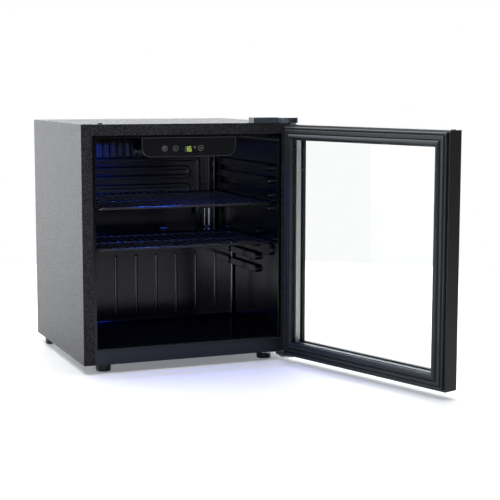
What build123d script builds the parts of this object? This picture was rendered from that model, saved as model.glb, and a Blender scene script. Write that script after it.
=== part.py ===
from build123d import *
import os
from math import cos, radians, sin

# A countertop drinks fridge: a foamed steel cabinet with a black plastic liner, a double-glazed door hung on
# the right, two wire shelves and a small compressor in a recess low at the back.  Millimetres.  +X is to the
# right, +Y goes to the back, +Z is up.  The origin is where the front left foot stands on the floor.  The
# door is modelled standing open.

# ---------------------------------------------------------------- driving dimensions
body_width = 445.0
body_depth = 395.0
body_height = 475.0
sheet = 1.0                  # coated steel of the wrapper and the rear panels
flange_width = 22.0          # steel edge folded in round the front
flange_hem = 1.5             # thickness of that folded edge
edge_radius = 1.5
front_edge_radius = 0.6

side_wall = 28.0             # outside of the cabinet to the cavity
roof_wall = 27.0
sill_height = 31.0           # underside of the cabinet to the cavity floor at the front
rear_wall = 30.0
liner_wall = 2.0
liner_lip = 12.0             # how far the liner's front lip reaches behind the steel edge
opening_radius = 13.0
sill_depth = 6.0
sill_wall = 2.5
sill_drop = 1.0
sill_round = 4.0
sill_side_gap = 0.5
floor_rise = 5.0             # the cavity floor climbs this much to the step

step_depth = 109.0           # step in the cavity over the compressor
step_height = 197.0
step_radius = 28.0
step_foam = 25.0             # insulation between the step and the compressor recess
step_corner_radius = 7.0     # round the step's face and the cavity's back wall
step_rib_count = 8
step_rib_left_gap = 21.4     # cavity walls to the first and last rib
step_rib_right_gap = 44.2
step_rib_width = 6.0
step_rib_proud = 3.0
step_rib_low = 17.0          # rib ends above the cavity floor
step_rib_high = 152.0
step_rib_round = 2.4
floor_radius = 8.0
line_sleeve_diameter = 16.0
drain_diameter = 12.0
drain_bore = 9.0
passage_lip = 3.0            # flange of the sleeve and of the drain round their holes
hole_clearance = 0.1

foot_height = 18.0
foot_diameter = 30.0
foot_inset_x = 48.0
foot_inset_y = 32.0
rear_foot_diameter = 19.0
rear_foot_inset_x = 15.0
rear_foot_inset_y = 50.0
foot_gap = 0.1               # running gap between a foot and the base
foot_groove_count = 24
foot_groove = 2.0
foot_chamfer = 1.5
rear_foot_stem = 6.0
stud_diameter = 8.0
stud_length = 16.0
insert_diameter = 14.0
insert_length = 20.0

door_gap = 10.0              # cabinet front to the inner face of the door
door_thickness = 31.0
door_drop = 3.0              # the door hangs this much lower than the cabinet
pin_inset = 8.0              # hinge axis from the door's end
pin_depth = 17.0             # hinge axis from the door's inner face
pin_diameter = 6.0
pin_clearance = 0.05
pin_engagement = 13.0
pin_shoulder = 12.0
pin_shoulder_gap = 0.2
pin_lead = 0.8
pin_rivet = 9.0
pin_rivet_height = 2.0
door_opening = 107.5         # degrees from closed

frame_width = 31.0           # door edge to the clear glass
bezel_thickness = 2.5
bezel_round = 1.2
bezel_clearance = 0.5
frame_pocket = 13.5          # door edge to the glazing pocket
rear_lip = 4.0               # frame lip over the inner pane
glass_thickness = 4.0
glass_space = 12.0
glass_edge = 14.0            # door edge to the edge of the panes
spacer_edge = 20.0
spacer_width = 8.5

gasket_edge = 4.0
gasket_width = 26.5
gasket_height = 9.5
gasket_barb_edge = 7.0
gasket_barb_width = 3.0
gasket_barb_depth = 4.0
barb_clearance = 0.2
magnet_width = 5.4
magnet_thickness = 2.0
magnet_edge = 11.4
magnet_height = 2.4
magnet_end_gap = 14.0

fascia_width = 199.0
fascia_height = 39.0
fascia_radius = 20.0
fascia_thickness = 2.5
fascia_recess = 1.4          # behind the cabinet front
fascia_rim = 1.2
fascia_rim_proud = 0.4
housing_gap = 0.5
housing_depth = 62.0
housing_wall = 2.0
button_diameter = 11.5
button_clearance = 0.3
button_travel = 1.0
button_proud = 0.4
button_drop = 22.0           # button axes below the top of the cavity
button_places = (-52.0, -29.0, 24.0)
button_flange = 14.0
button_flange_thickness = 1.0
button_stem = 4.0
button_stem_length = 0.5
button_round = 0.3
display_width = 17.0
display_height = 12.0
display_place = -1.5
display_drop = 23.6
display_proud = 0.2
display_flange = 1.5
board_gap = 8.0              # fascia to the circuit board
board_thickness = 1.6
board_width = 144.0
board_edges = (34.0, 8.0)    # board's edges below the top of the cavity
board_post = 4.0
board_post_length = 8.0
switch_width = 6.0
switch_gap = 0.6
digit_block = (16.0, 12.0)
lamp_length = 90.0
lamp_shift = 30.0            # lamp left of the cabinet's middle
lamp_width = 9.0
lamp_place = 38.0            # behind the cabinet front
lens_flange = 3.0
lens_flange_thickness = 1.5
probe_diameter = 6.0
probe_length = 24.0
probe_place = 60.0           # right of the cabinet's middle
probe_flange_thickness = 2.0

shelf_frame_wire = 5.0
shelf_bar = 4.0              # bar across the middle, just under the rods
shelf_bar_lift = 0.3
shelf_wire = 2.6
shelf_rod_inset = 14.7       # middle of a side wire to the middle of the outer rod
shelf_side_clearance = 3.0
shelf_front = 15.0           # cabinet front to the shelf's front edge
shelf_corner = 12.0
shelf_wire_count = 22
shelf_wire_reach = 1.8       # rods run this far past the middle of the end wires
upper_shelf_height = 305.5   # support ledge above the underside of the cabinet
lower_shelf_height = 223.5
upper_shelf_depth = 320.0
lower_shelf_depth = 233.0
shelf_seat = 0.1
weld_bite = 0.8

rail_height = 16.0
rail_slot = 11.0
rail_proud = 8.5
rail_round = 2.0
rail_front = 35.0
rail_back_gap = 25.0
low_rail_front = 103.0
low_rail_gap = 3.0           # rail ends to the step
spare_rail_drop = 55.5       # spare ledges below the lower shelf and above the upper one
spare_rail_rise = 57.0
boss_length = 57.0
boss_height = 27.0
boss_proud = 6.0
boss_middle = 57.0

evaporator_gap = 13.5        # back wall of the cavity to the plate
evaporator_side_gap = 15.0
evaporator_top_gap = 16.0
evaporator_low_gap = 46.0    # plate to the step
evaporator_thickness = 1.5
channel_width = 9.0
channel_proud = 2.5
channel_pitch = 20.0
channel_taper = 25.0
channel_left_gap = 27.5      # plate's edges to the channels
channel_right_gap = 57.5
channel_top_gap = 47.0
channel_low_gap = 31.0
rising_channel_width = 7.0
rising_channel_top_gap = 22.0
rising_channel_low_gap = 2.0
cell_length = 33.0           # upright cells along the top of the plate
cell_width = 8.0
cell_top_gap = 5.0
cell_left_gap = 15.5
cell_right_gap = 23.5
cell_count = 21
tab_length = 18.0
tab_widths = (19.0, 16.0)
tab_insets = (31.5, 8.0)     # tab middles from the plate's right edge
tab_channel_shift = 3.0
tab_channel_low_gap = 12.0
fixing_side_inset = 7.5      # screws from the plate's edges
fixing_top_inset = 5.5
fixing_low_inset = 8.0
fixing_tab_inset = 79.5
tube_joint = 4.0             # tube ends below the plate
capillary_shift = 13.0       # capillary right of the wide tab's middle
bend_relief = 0.1            # keeps a little straight between two half turns
standoff_diameter = 10.0
suction_tube = 5.0
capillary_tube = 2.2

compressor_radius = 52.0
compressor_height = 140.0
compressor_wall = 3.0
compressor_dome = 22.0
compressor_place_x = 62.0    # right of the cabinet's middle
compressor_place_y = 56.0    # behind the recess wall
suction_height = 110.0       # stubs above the foot of the shell
discharge_height = 60.0
compressor_plate_width = 150.0
compressor_plate_depth = 84.0
compressor_plate = 3.0
compressor_plate_radius = 10.0
grommet_diameter = 18.0
grommet_neck = 11.0
grommet_height = 12.0
grommet_lip = 2.5
grommet_lip_diameter = 16.0
grommet_pitch_x = 126.0
grommet_pitch_y = 62.0
bolt_diameter = 6.0
bolt_head = 10.0
bolt_head_height = 3.5
starter_width = 48.0
starter_height = 64.0
starter_lift = 40.0          # starter box above the foot of the shell
starter_reach = 18.0         # beyond the shell
starter_overlap = 8.0
starter_radius = 4.0
shell_clearance = 0.05
tray_width = 112.0
tray_depth = 96.0
tray_height = 18.0
tray_wall = 2.0
tray_radius = 12.0
tray_taper = -4.0
tray_shift = 2.0             # tray forward of the compressor's middle
drain_dip = 6.0              # drain ends below the tray's rim
drain_lip = 1.2
deck_thickness = 2.0
deck_upstand = 18.0
stub_diameter = 9.0
stub_length = 8.0
gland_diameter = 16.0
gland_place = 60.0           # from the cabinet's left side
gland_height = 36.0
gland_bore = 8.0
gland_flange = 3.0
gland_flange_in = 5.0
gland_flange_out = 4.0
drier_diameter = 16.0
drier_length = 80.0
drier_neck = 8.0
drier_neck_diameter = 6.0
drier_chamfer = 3.5
drier_side_gap = 14.0        # drier's axis from the cabinet's left side
drier_place_y = 84.0         # behind the recess wall
drier_height = 52.0          # above the underside of the cabinet
line_bend = 5.0
line_drop = 12.0             # capillary run below the recess roof
drier_line_drop = 16.0       # feed run below the drier

condenser_tube = 5.0
condenser_pitch = 20.0
condenser_rows = 11
condenser_inset = 28.0       # tube bends in from the cabinet's sides
condenser_lift = 30.0        # lowest run above the recess
condenser_gap = 9.0          # back panel to the condenser tube
condenser_wire = 1.8
condenser_wire_count = 21
condenser_wire_bite = 0.4
condenser_wire_inset = 20.0  # outer wires in from the bends
condenser_wire_reach = 6.0   # wires past the end runs
coil_join_lift = 12.0        # lead ends above the recess roof
coil_feed_inset = 26.0
coil_return_reach = 14.0
bracket_width = 14.0
bracket_thickness = 1.5
bracket_margin = 7.0
bracket_inset = 72.5         # brackets from the cabinet's sides
bracket_screw_inset = 14.0
bracket_screw_length = 8.0
clip_height = 10.0
clip_cover = 1.0             # clip past the middle of the tube
tube_clearance = 0.05

hinge_plate = 3.0
hinge_arm_width = 28.0
top_plate_length = 64.0
top_plate_depth = 24.0
hinge_side_gap = 2.0         # hinge plates in from the cabinet's side
hinge_arm_reach = 10.0       # arm beyond the pin
hinge_screw_insets = (20.0, 42.0)
hinge_screw_depth = 13.0
bottom_screw_insets = ((12.0, 30.0), (12.0, 54.0), (46.0, 11.0))  # from the right side and the front
hinge_arm_round = 8.0
lug_inset = 8.5              # locating lug of the top hinge, and its slot
lug_depth = 15.0
lug_slot = 7.0
lug_slot_length = 10.0
hinge_cover_length = 85.0
hinge_cover_height = 11.0
hinge_cover_wall = 1.5
hinge_cover_gap = 0.4
hinge_cover_round = 10.0
hinge_cover_edge = 1.0
bottom_hinge_gap = 1.5       # door bottom to the lower hinge arm
bottom_plate_length = 60.0
bottom_plate_strip = 10.0
screw_diameter = 4.0
screw_head = 8.0
screw_head_height = 2.4
screw_length = 12.0
screw_clearance = 0.15
backing_thickness = 3.0
backing_margin = 7.0
bush_diameter = 10.0
bush_length = 15.0
plug_head = 10.0
plug_head_height = 2.5
flat_plug_head = 7.0
flat_plug_height = 0.8
slot_plug_lip = 1.0
slot_plug_clearance = 0.15
slot_plug_depth = 2.0
plug_stem = 5.0
plug_stem_length = 6.0

# ---------------------------------------------------------------- places worked out from them
left = -foot_inset_x
right = left + body_width
front = -foot_inset_y
back = front + body_depth
bottom = foot_height
top = bottom + body_height
middle_x = (left + right) / 2
middle_z = (bottom + top) / 2

cavity_left = left + side_wall
cavity_right = right - side_wall
cavity_width = cavity_right - cavity_left
cavity_floor = bottom + sill_height
cavity_top = top - roof_wall
cavity_back = back - rear_wall
cavity_height = cavity_top - cavity_floor
cavity_middle_z = (cavity_floor + cavity_top) / 2
step_front = cavity_back - step_depth
step_top = cavity_floor + step_height
sill_back = front + sill_depth
lip_front = front + flange_hem
lip_back = lip_front + liner_wall

recess_front = step_front + liner_wall + step_foam
recess_top = step_top - liner_wall - step_foam
low_spare_height = lower_shelf_height - spare_rail_drop
high_spare_height = upper_shelf_height + spare_rail_rise

evaporator_left = cavity_left + evaporator_side_gap
evaporator_right = cavity_right - evaporator_side_gap
evaporator_top = cavity_top - evaporator_top_gap
evaporator_low = step_top + evaporator_low_gap
wide_tab_x = evaporator_right - tab_insets[0]
suction_x = evaporator_right - tab_insets[1]
capillary_x = wide_tab_x + capillary_shift
evaporator_back = cavity_back - evaporator_gap
evaporator_front = evaporator_back - evaporator_thickness
lines_y = (evaporator_back + evaporator_front) / 2
sleeve_x = (suction_x + capillary_x) / 2
compressor_x = middle_x + compressor_place_x
compressor_y = recess_front + compressor_place_y

door_width = body_width
door_height = body_height
door_bottom = bottom - door_drop
door_top = door_bottom + door_height
pin_x = right - pin_inset
pin_y = front - door_gap - pin_depth
inner_pane = rear_lip
spacer_level = inner_pane + glass_thickness
outer_pane = spacer_level + glass_space
bezel_level = outer_pane + glass_thickness

along_door = Vector(-cos(radians(door_opening)), -sin(radians(door_opening)), 0)
across_door = Vector(sin(radians(door_opening)), -cos(radians(door_opening)), 0)


def front_plane(y):
    """Upright plane across the cabinet: local x to the right, local y up, facing the front."""
    return Plane.XZ.offset(-y)


def side_plane(x):
    """Upright plane along the depth: local x to the back, local y up, facing right."""
    return Plane.YZ.offset(x)


def level_plane(z):
    return Plane.XY.offset(z)


def door_corner(depth, height):
    """Point on the door's hinge end, at a depth from its inner face."""
    start = Vector(pin_x, pin_y, height)
    return start - along_door * pin_inset + across_door * (depth - pin_depth)


def door_plane(depth):
    """Plane parallel to the door, facing the cavity: local x from the hinge to the latch end, local y up."""
    return Plane(origin=door_corner(depth, door_bottom), x_dir=along_door, z_dir=-across_door)


def door_level(height):
    """Level plane on the door: local x from the hinge to the latch end, local y out from the inner face."""
    return Plane(origin=door_corner(0, height), x_dir=along_door, z_dir=(0, 0, 1))


def door_ring(outer, inner):
    """A rectangular ring on a door plane, between two distances in from the door's edge."""
    with Locations((door_width / 2, door_height / 2)):
        Rectangle(door_width - 2 * outer, door_height - 2 * outer)
        Rectangle(door_width - 2 * inner, door_height - 2 * inner, mode=Mode.SUBTRACT)


def box_between(low, high, mode=Mode.ADD):
    """A box from its lowest to its highest corner, in the part block that is open."""
    middle = [(a + b) / 2 for a, b in zip(low, high)]
    with Locations(tuple(middle)):
        Box(*[b - a for a, b in zip(low, high)], mode=mode)


def tube_along(points, bend, diameter):
    """A round tube along straight runs joined by arcs, added to the part block that is open."""
    with BuildLine() as route:
        FilletPolyline(*points, radius=bend)
    start = Vector(*points[0])
    with BuildSketch(Plane(origin=start, z_dir=Vector(*points[1]) - start)) as ring:
        Circle(diameter / 2)
    sweep(ring.sketch, path=route.line)


def save(piece, name):
    piece.part.label = name
    export_step(piece.part, f"parts/{name}.step")


os.makedirs("parts", exist_ok=True)

# ---------------------------------------------------------------- cabinet shell
# The wrapper is one sheet folded into the top and both sides, with its front edge folded in and mitred.
hinge_screws_top = [(right - inset, front + hinge_screw_depth) for inset in hinge_screw_insets]
plug_places = [(left + inset, front + hinge_screw_depth) for inset in hinge_screw_insets]
slot_places = [(left + lug_inset, front + lug_depth), (right - lug_inset, front + lug_depth)]
mitre_width = 0.8
mitre_depth = 0.7
mitre_length = 1.3 * flange_width

with BuildPart() as outer_wrapper:
    with BuildSketch(front_plane(front)):
        with Locations((middle_x, middle_z)):
            Rectangle(body_width, body_height)
        with Locations((middle_x, middle_z - sheet / 2)):
            Rectangle(body_width - 2 * sheet, body_height - sheet, mode=Mode.SUBTRACT)
    extrude(amount=-body_depth)
    with BuildSketch(front_plane(front)):
        with Locations((middle_x, middle_z)):
            Rectangle(body_width, body_height)
        with Locations((middle_x, middle_z - flange_width / 2)):
            Rectangle(body_width - 2 * flange_width, body_height - flange_width, mode=Mode.SUBTRACT)
    extrude(amount=-flange_hem)
    long_edges = outer_wrapper.edges().filter_by(Axis.Y).filter_by(lambda e: e.length > body_depth / 2)
    fillet(long_edges.filter_by(lambda e: e.center().Z > top - sheet / 2), radius=edge_radius)
    front_edges = outer_wrapper.faces().sort_by(Axis.Y)[0].outer_wire().edges()
    top_edges = front_edges.filter_by(lambda e: e.center().Z > top - 2 * edge_radius)
    side_edges = front_edges.filter_by(lambda e: abs(e.center().X - middle_x) > body_width / 2 - edge_radius)
    fillet(set(top_edges + side_edges), radius=front_edge_radius)
    with BuildSketch(front_plane(front)):
        for side, turn in ((-1, 45), (1, -45)):
            with Locations((middle_x + side * (body_width - flange_width) / 2, top - flange_width / 2)):
                Rectangle(mitre_width, mitre_length, rotation=turn)
    extrude(amount=-mitre_depth, mode=Mode.SUBTRACT)
    with BuildSketch(level_plane(top)):
        with Locations(*hinge_screws_top, *plug_places):
            Circle(plug_stem / 2 + screw_clearance)
        with Locations(*slot_places):
            SlotOverall(lug_slot_length, lug_slot, rotation=90)
    extrude(amount=-sheet, mode=Mode.SUBTRACT)
save(outer_wrapper, "outer_wrapper")

# ---------------------------------------------------------------- liner
# One thermoformed skin: cavity walls, the step over the compressor, shelf rails and a lip round the front.


def cavity_form(grow):
    """The cavity, or the same grown on its foam side: sloping floor, step at the back, rounded corners."""
    face = step_front + grow
    ledge = step_top - grow
    deep = cavity_back + grow
    low = cavity_floor - grow
    high = cavity_top + grow
    with BuildPart() as form:
        with BuildSketch(side_plane(middle_x)) as section:
            with BuildLine():
                Polyline((front, low), (face, low + floor_rise), (face, ledge), (deep, ledge), (deep, high),
                         (front, high), close=True)
            make_face()
            fillet(section.vertices().sort_by_distance((face, ledge))[0], radius=step_radius - grow)
        extrude(amount=cavity_width / 2 + grow, both=True)
        with BuildSketch(front_plane(front)) as opening:
            with Locations((middle_x, cavity_middle_z)):
                Rectangle(cavity_width + 2 * grow, cavity_height + 2 * grow)
            corners = opening.vertices().group_by(Axis.Y)
            fillet(corners[-1], radius=opening_radius + grow)
            fillet(corners[0], radius=floor_radius + grow)
        extrude(amount=-body_depth, mode=Mode.INTERSECT)
        step_face, back_wall = form.faces().filter_by(Axis.Y).sort_by(Axis.Y)[-2:]
        step_edges = step_face.edges().filter_by(lambda e: e.center().Z < ledge - step_radius)
        wall_edges = back_wall.edges().filter_by(lambda e: e.center().Z > ledge + step_radius)
        fillet(step_edges + wall_edges, radius=step_corner_radius + grow)
    return form.part


rib_span = cavity_width - step_rib_left_gap - step_rib_right_gap
rib_middle_x = cavity_left + step_rib_left_gap + rib_span / 2

with BuildPart() as inner_liner:
    add(cavity_form(liner_wall))
    box_between((left, front, bottom), (right, lip_front, top), mode=Mode.SUBTRACT)
    lip_low = (cavity_left - liner_lip, lip_front, cavity_floor - liner_wall)
    lip_high = (cavity_right + liner_lip, lip_back, cavity_top + liner_lip)
    box_between(lip_low, lip_high)
    turned_low = (cavity_left + floor_radius, sill_back, cavity_floor - liner_lip)
    turned_high = (cavity_right - floor_radius, sill_back + liner_wall, cavity_floor - liner_wall / 2)
    box_between(turned_low, turned_high)
    add(cavity_form(0), mode=Mode.SUBTRACT)
    with BuildSketch(level_plane(step_top)):
        with Locations((sleeve_x, lines_y)):
            Circle(line_sleeve_diameter / 2 + hole_clearance)
        with Locations((compressor_x, lines_y)):
            Circle(drain_diameter / 2 + hole_clearance)
    extrude(amount=-liner_wall, mode=Mode.SUBTRACT)
    with BuildSketch(front_plane(step_front)):
        with Locations((rib_middle_x, cavity_floor + (step_rib_low + step_rib_high) / 2)):
            with GridLocations(rib_span / (step_rib_count - 1), 0, step_rib_count, 1):
                SlotOverall(step_rib_high - step_rib_low, step_rib_width, rotation=90)
    extrude(amount=step_rib_proud)
    rib_tops = inner_liner.faces().filter_by(lambda f: abs(f.center().Y - step_front + step_rib_proud) < 0.01)
    fillet(rib_tops.edges(), radius=step_rib_round)
    rail_levels = []
    for ledge in (low_spare_height, lower_shelf_height):
        rail_levels.append((ledge, front + low_rail_front, step_front - low_rail_gap))
    for ledge in (upper_shelf_height, high_spare_height):
        rail_levels.append((ledge, front + rail_front, cavity_back - rail_back_gap))
    for wall_x, inward in ((cavity_left, 1), (cavity_right, -1)):
        with BuildSketch(side_plane(wall_x)):
            for ledge, rail_start, rail_end in rail_levels:
                for rail_shift in (-rail_height / 2, rail_slot + rail_height / 2):
                    with Locations(((rail_start + rail_end) / 2, bottom + ledge + rail_shift)):
                        SlotOverall(rail_end - rail_start, rail_height)
        extrude(amount=inward * rail_proud)
        with BuildSketch(side_plane(wall_x)):
            with Locations((front + boss_middle, bottom + lower_shelf_height - boss_height / 2)):
                SlotOverall(boss_length, boss_height)
        extrude(amount=inward * boss_proud)
    rail_x = cavity_width / 2 - rail_proud
    boss_x = cavity_width / 2 - boss_proud
    rail_tops = inner_liner.faces().filter_by(lambda f: abs(abs(f.center().X - middle_x) - rail_x) < 0.01)
    boss_tops = inner_liner.faces().filter_by(lambda f: abs(abs(f.center().X - middle_x) - boss_x) < 0.01)
    fillet(rail_tops.edges() + boss_tops.edges(), radius=rail_round)
save(inner_liner, "inner_liner")

# ---------------------------------------------------------------- sill
with BuildPart() as front_sill:
    with BuildSketch(side_plane(middle_x)) as section:
        sill_low = bottom - sill_drop
        sill_high = cavity_floor - liner_wall
        with Locations((front + sill_depth / 2, (sill_low + sill_high) / 2)):
            Rectangle(sill_depth, sill_high - sill_low)
        fillet(section.vertices().sort_by_distance((front, sill_high))[0], radius=sill_round)
        fillet(section.vertices().sort_by_distance((front, sill_low))[0], radius=edge_radius)
        with Locations((front + sill_depth / 2 + sill_wall / 2, (sill_low + sill_high) / 2)):
            Rectangle(sill_depth - sill_wall, sill_high - sill_low - 2 * sill_wall, mode=Mode.SUBTRACT)
    extrude(amount=body_width / 2 - flange_width - sill_side_gap, both=True)
save(front_sill, "front_sill")

# ---------------------------------------------------------------- underside and compressor recess
front_feet = [(left + foot_inset_x, front + foot_inset_y), (right - foot_inset_x, front + foot_inset_y)]
rear_feet_places = [(left + rear_foot_inset_x, back - rear_foot_inset_y),
                    (right - rear_foot_inset_x, back - rear_foot_inset_y)]
bottom_screws = [(right - side_inset, front + front_inset) for side_inset, front_inset in bottom_screw_insets]
pan_upstand = 14.0

with BuildPart() as base_pan:
    box_between((left + sheet, sill_back, bottom), (right - sheet, recess_front, bottom + sheet))
    box_between((left + sheet, sill_back, bottom), (right - sheet, sill_back + sheet, bottom + pan_upstand))
    with BuildSketch(level_plane(bottom)):
        with Locations(*front_feet):
            Circle(stud_diameter / 2 + pin_clearance)
        with Locations(*bottom_screws):
            Circle(screw_diameter / 2 + screw_clearance)
    extrude(amount=sheet, mode=Mode.SUBTRACT)
save(base_pan, "base_pan")

with BuildPart() as recess_lining:
    box_between((left + sheet, recess_front, bottom), (right - sheet, recess_front + sheet, recess_top))
    box_between((left + sheet, recess_front, recess_top - sheet), (right - sheet, back, recess_top))
    with BuildSketch(level_plane(recess_top)):
        with Locations((sleeve_x, lines_y)):
            Circle(line_sleeve_diameter / 2 + hole_clearance)
        with Locations((compressor_x, lines_y)):
            Circle(drain_diameter / 2 + hole_clearance)
    extrude(amount=-sheet, mode=Mode.SUBTRACT)
save(recess_lining, "recess_lining")

bracket_levels = (recess_top + bracket_screw_inset, top - bracket_screw_inset)
bracket_places = [(bracket_x, screw_z) for screw_z in bracket_levels
                  for bracket_x in (left + bracket_inset, right - bracket_inset)]

with BuildPart() as back_panel:
    box_between((left + sheet, back - sheet, recess_top), (right - sheet, back, top - sheet))
    with BuildSketch(front_plane(back)):
        with Locations(*bracket_places):
            Circle(screw_diameter / 2 + screw_clearance)
    extrude(amount=sheet, mode=Mode.SUBTRACT)
save(back_panel, "back_panel")

with BuildPart() as compressor_deck:
    deck_front = recess_front + sheet
    deck_back = back - deck_thickness
    box_between((left + sheet, deck_front, bottom), (right - sheet, back, bottom + deck_thickness))
    box_between((left + sheet, deck_back, bottom), (right - sheet, back, bottom + deck_upstand))
    gland_x = left + gland_place
    box_between((gland_x - gland_diameter, deck_back, bottom),
                (gland_x + gland_diameter, back, bottom + gland_height + gland_diameter))
    with BuildSketch(front_plane(back)):
        with Locations((gland_x, bottom + gland_height)):
            Circle(gland_diameter / 2)
    extrude(amount=deck_thickness, mode=Mode.SUBTRACT)
    with BuildSketch(level_plane(bottom)):
        with Locations(*rear_feet_places):
            Circle(rear_foot_stem / 2 + screw_clearance)
        with Locations((compressor_x, compressor_y)):
            with GridLocations(grommet_pitch_x, grommet_pitch_y, 2, 2):
                Circle(bolt_diameter / 2 + screw_clearance)
    extrude(amount=deck_thickness, mode=Mode.SUBTRACT)
save(compressor_deck, "compressor_deck")

# ---------------------------------------------------------------- feet
with BuildPart() as stud_inserts:
    with BuildSketch(level_plane(bottom + sheet)):
        with Locations(*front_feet):
            RegularPolygon(insert_diameter / 2, 6)
            Circle(stud_diameter / 2 + pin_clearance, mode=Mode.SUBTRACT)
    extrude(amount=insert_length)
save(stud_inserts, "stud_inserts")

for side, (foot_x, foot_y) in zip(("left", "right"), front_feet):
    with BuildPart() as front_foot:
        with BuildSketch(Plane.XY):
            with Locations((foot_x, foot_y)):
                Circle(foot_diameter / 2)
        extrude(amount=foot_height - foot_gap)
        chamfer(front_foot.edges().group_by(Axis.Z)[0], length=foot_chamfer)
        fillet(front_foot.edges().group_by(Axis.Z)[-1], radius=foot_chamfer)
        with BuildSketch(level_plane(foot_height / 3)):
            with Locations((foot_x, foot_y)):
                with PolarLocations(foot_diameter / 2, foot_groove_count):
                    Circle(foot_groove / 2)
        extrude(amount=foot_height / 2, mode=Mode.SUBTRACT)
        with BuildSketch(level_plane(foot_height - foot_gap)):
            with Locations((foot_x, foot_y)):
                Circle(stud_diameter / 2)
        extrude(amount=stud_length)
    save(front_foot, f"front_{side}_foot")

with BuildPart() as rear_feet:
    with BuildSketch(Plane.XY):
        with Locations(*rear_feet_places):
            Circle(rear_foot_diameter / 2)
    extrude(amount=foot_height)
    chamfer(rear_feet.edges().group_by(Axis.Z)[0], length=foot_chamfer)
    with BuildSketch(level_plane(bottom)):
        with Locations(*rear_feet_places):
            Circle(rear_foot_stem / 2)
    extrude(amount=deck_thickness)
    with BuildSketch(level_plane(bottom + deck_thickness)):
        with Locations(*rear_feet_places):
            Circle(rear_foot_stem)
    extrude(amount=deck_thickness)
save(rear_feet, "rear_feet")

# ---------------------------------------------------------------- hinges
arm_front = pin_y - hinge_arm_reach
hinge_right = right - hinge_side_gap
arm_left = hinge_right - hinge_arm_width
bottom_arm_top = door_bottom - bottom_hinge_gap
bottom_arm = bottom_arm_top - hinge_plate
riser = sill_back            # the lower hinge steps down behind the sill

with BuildPart() as top_hinge_plate:
    with BuildSketch(level_plane(top)) as outline:
        with Locations((hinge_right, front)):
            Rectangle(top_plate_length, top_plate_depth, align=(Align.MAX, Align.MIN))
        with Locations((hinge_right, front + top_plate_depth)):
            Rectangle(hinge_arm_width, front + top_plate_depth - arm_front, align=(Align.MAX, Align.MAX))
        fillet(outline.vertices().group_by(Axis.Y)[0], radius=hinge_arm_round)
        with Locations(*hinge_screws_top):
            Circle(screw_diameter / 2 + screw_clearance, mode=Mode.SUBTRACT)
        with Locations((pin_x, pin_y)):
            Circle(pin_diameter / 2, mode=Mode.SUBTRACT)
    extrude(amount=hinge_plate)
    with BuildSketch(level_plane(top)):
        with Locations((right - lug_inset, front + lug_depth)):
            Rectangle(hinge_plate, lug_slot)
    extrude(amount=-2 * hinge_plate)
save(top_hinge_plate, "top_hinge_plate")

with BuildPart() as bottom_hinge_plate:
    with BuildSketch(level_plane(bottom)):
        with Locations((hinge_right, riser)):
            Rectangle(hinge_arm_width, bottom_plate_length, align=(Align.MAX, Align.MIN))
            Rectangle(bottom_plate_length, bottom_plate_strip, align=(Align.MAX, Align.MIN))
        with Locations(*bottom_screws):
            Circle(screw_diameter / 2 + screw_clearance, mode=Mode.SUBTRACT)
    extrude(amount=-hinge_plate)
    box_between((arm_left, riser, bottom_arm), (hinge_right, riser + hinge_plate, bottom))
    with BuildSketch(level_plane(bottom_arm)) as arm:
        with Locations((hinge_right, riser + hinge_plate)):
            Rectangle(hinge_arm_width, riser + hinge_plate - arm_front, align=(Align.MAX, Align.MAX))
        fillet(arm.vertices().group_by(Axis.Y)[0], radius=hinge_arm_round)
    extrude(amount=hinge_plate)
    with BuildSketch(level_plane(bottom_arm)):
        with Locations((pin_x, pin_y)):
            Circle(pin_diameter / 2)
    extrude(amount=hinge_plate, mode=Mode.SUBTRACT)
save(bottom_hinge_plate, "bottom_hinge_plate")

with BuildPart() as top_hinge_pin:
    with BuildSketch(level_plane(door_top - pin_engagement)):
        with Locations((pin_x, pin_y)):
            Circle(pin_diameter / 2)
    extrude(amount=top + hinge_plate - door_top + pin_engagement)
    chamfer(top_hinge_pin.edges().group_by(Axis.Z)[0], length=pin_lead)
    with BuildSketch(level_plane(door_top + pin_shoulder_gap)):
        with Locations((pin_x, pin_y)):
            Circle(pin_shoulder / 2)
    extrude(amount=top - door_top - pin_shoulder_gap)
save(top_hinge_pin, "top_hinge_pin")

with BuildPart() as bottom_hinge_pin:
    with BuildSketch(level_plane(bottom_arm)):
        with Locations((pin_x, pin_y)):
            Circle(pin_diameter / 2)
    extrude(amount=door_bottom + pin_engagement - bottom_arm)
    chamfer(bottom_hinge_pin.edges().group_by(Axis.Z)[-1], length=pin_lead)
    with BuildSketch(level_plane(bottom_arm)):
        with Locations((pin_x, pin_y)):
            Circle(pin_rivet / 2)
    extrude(amount=-pin_rivet_height)
    with BuildSketch(level_plane(bottom_arm_top)):
        with Locations((pin_x, pin_y)):
            Circle(pin_shoulder / 2)
    extrude(amount=bottom_hinge_gap - pin_shoulder_gap)
save(bottom_hinge_pin, "bottom_hinge_pin")

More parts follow.
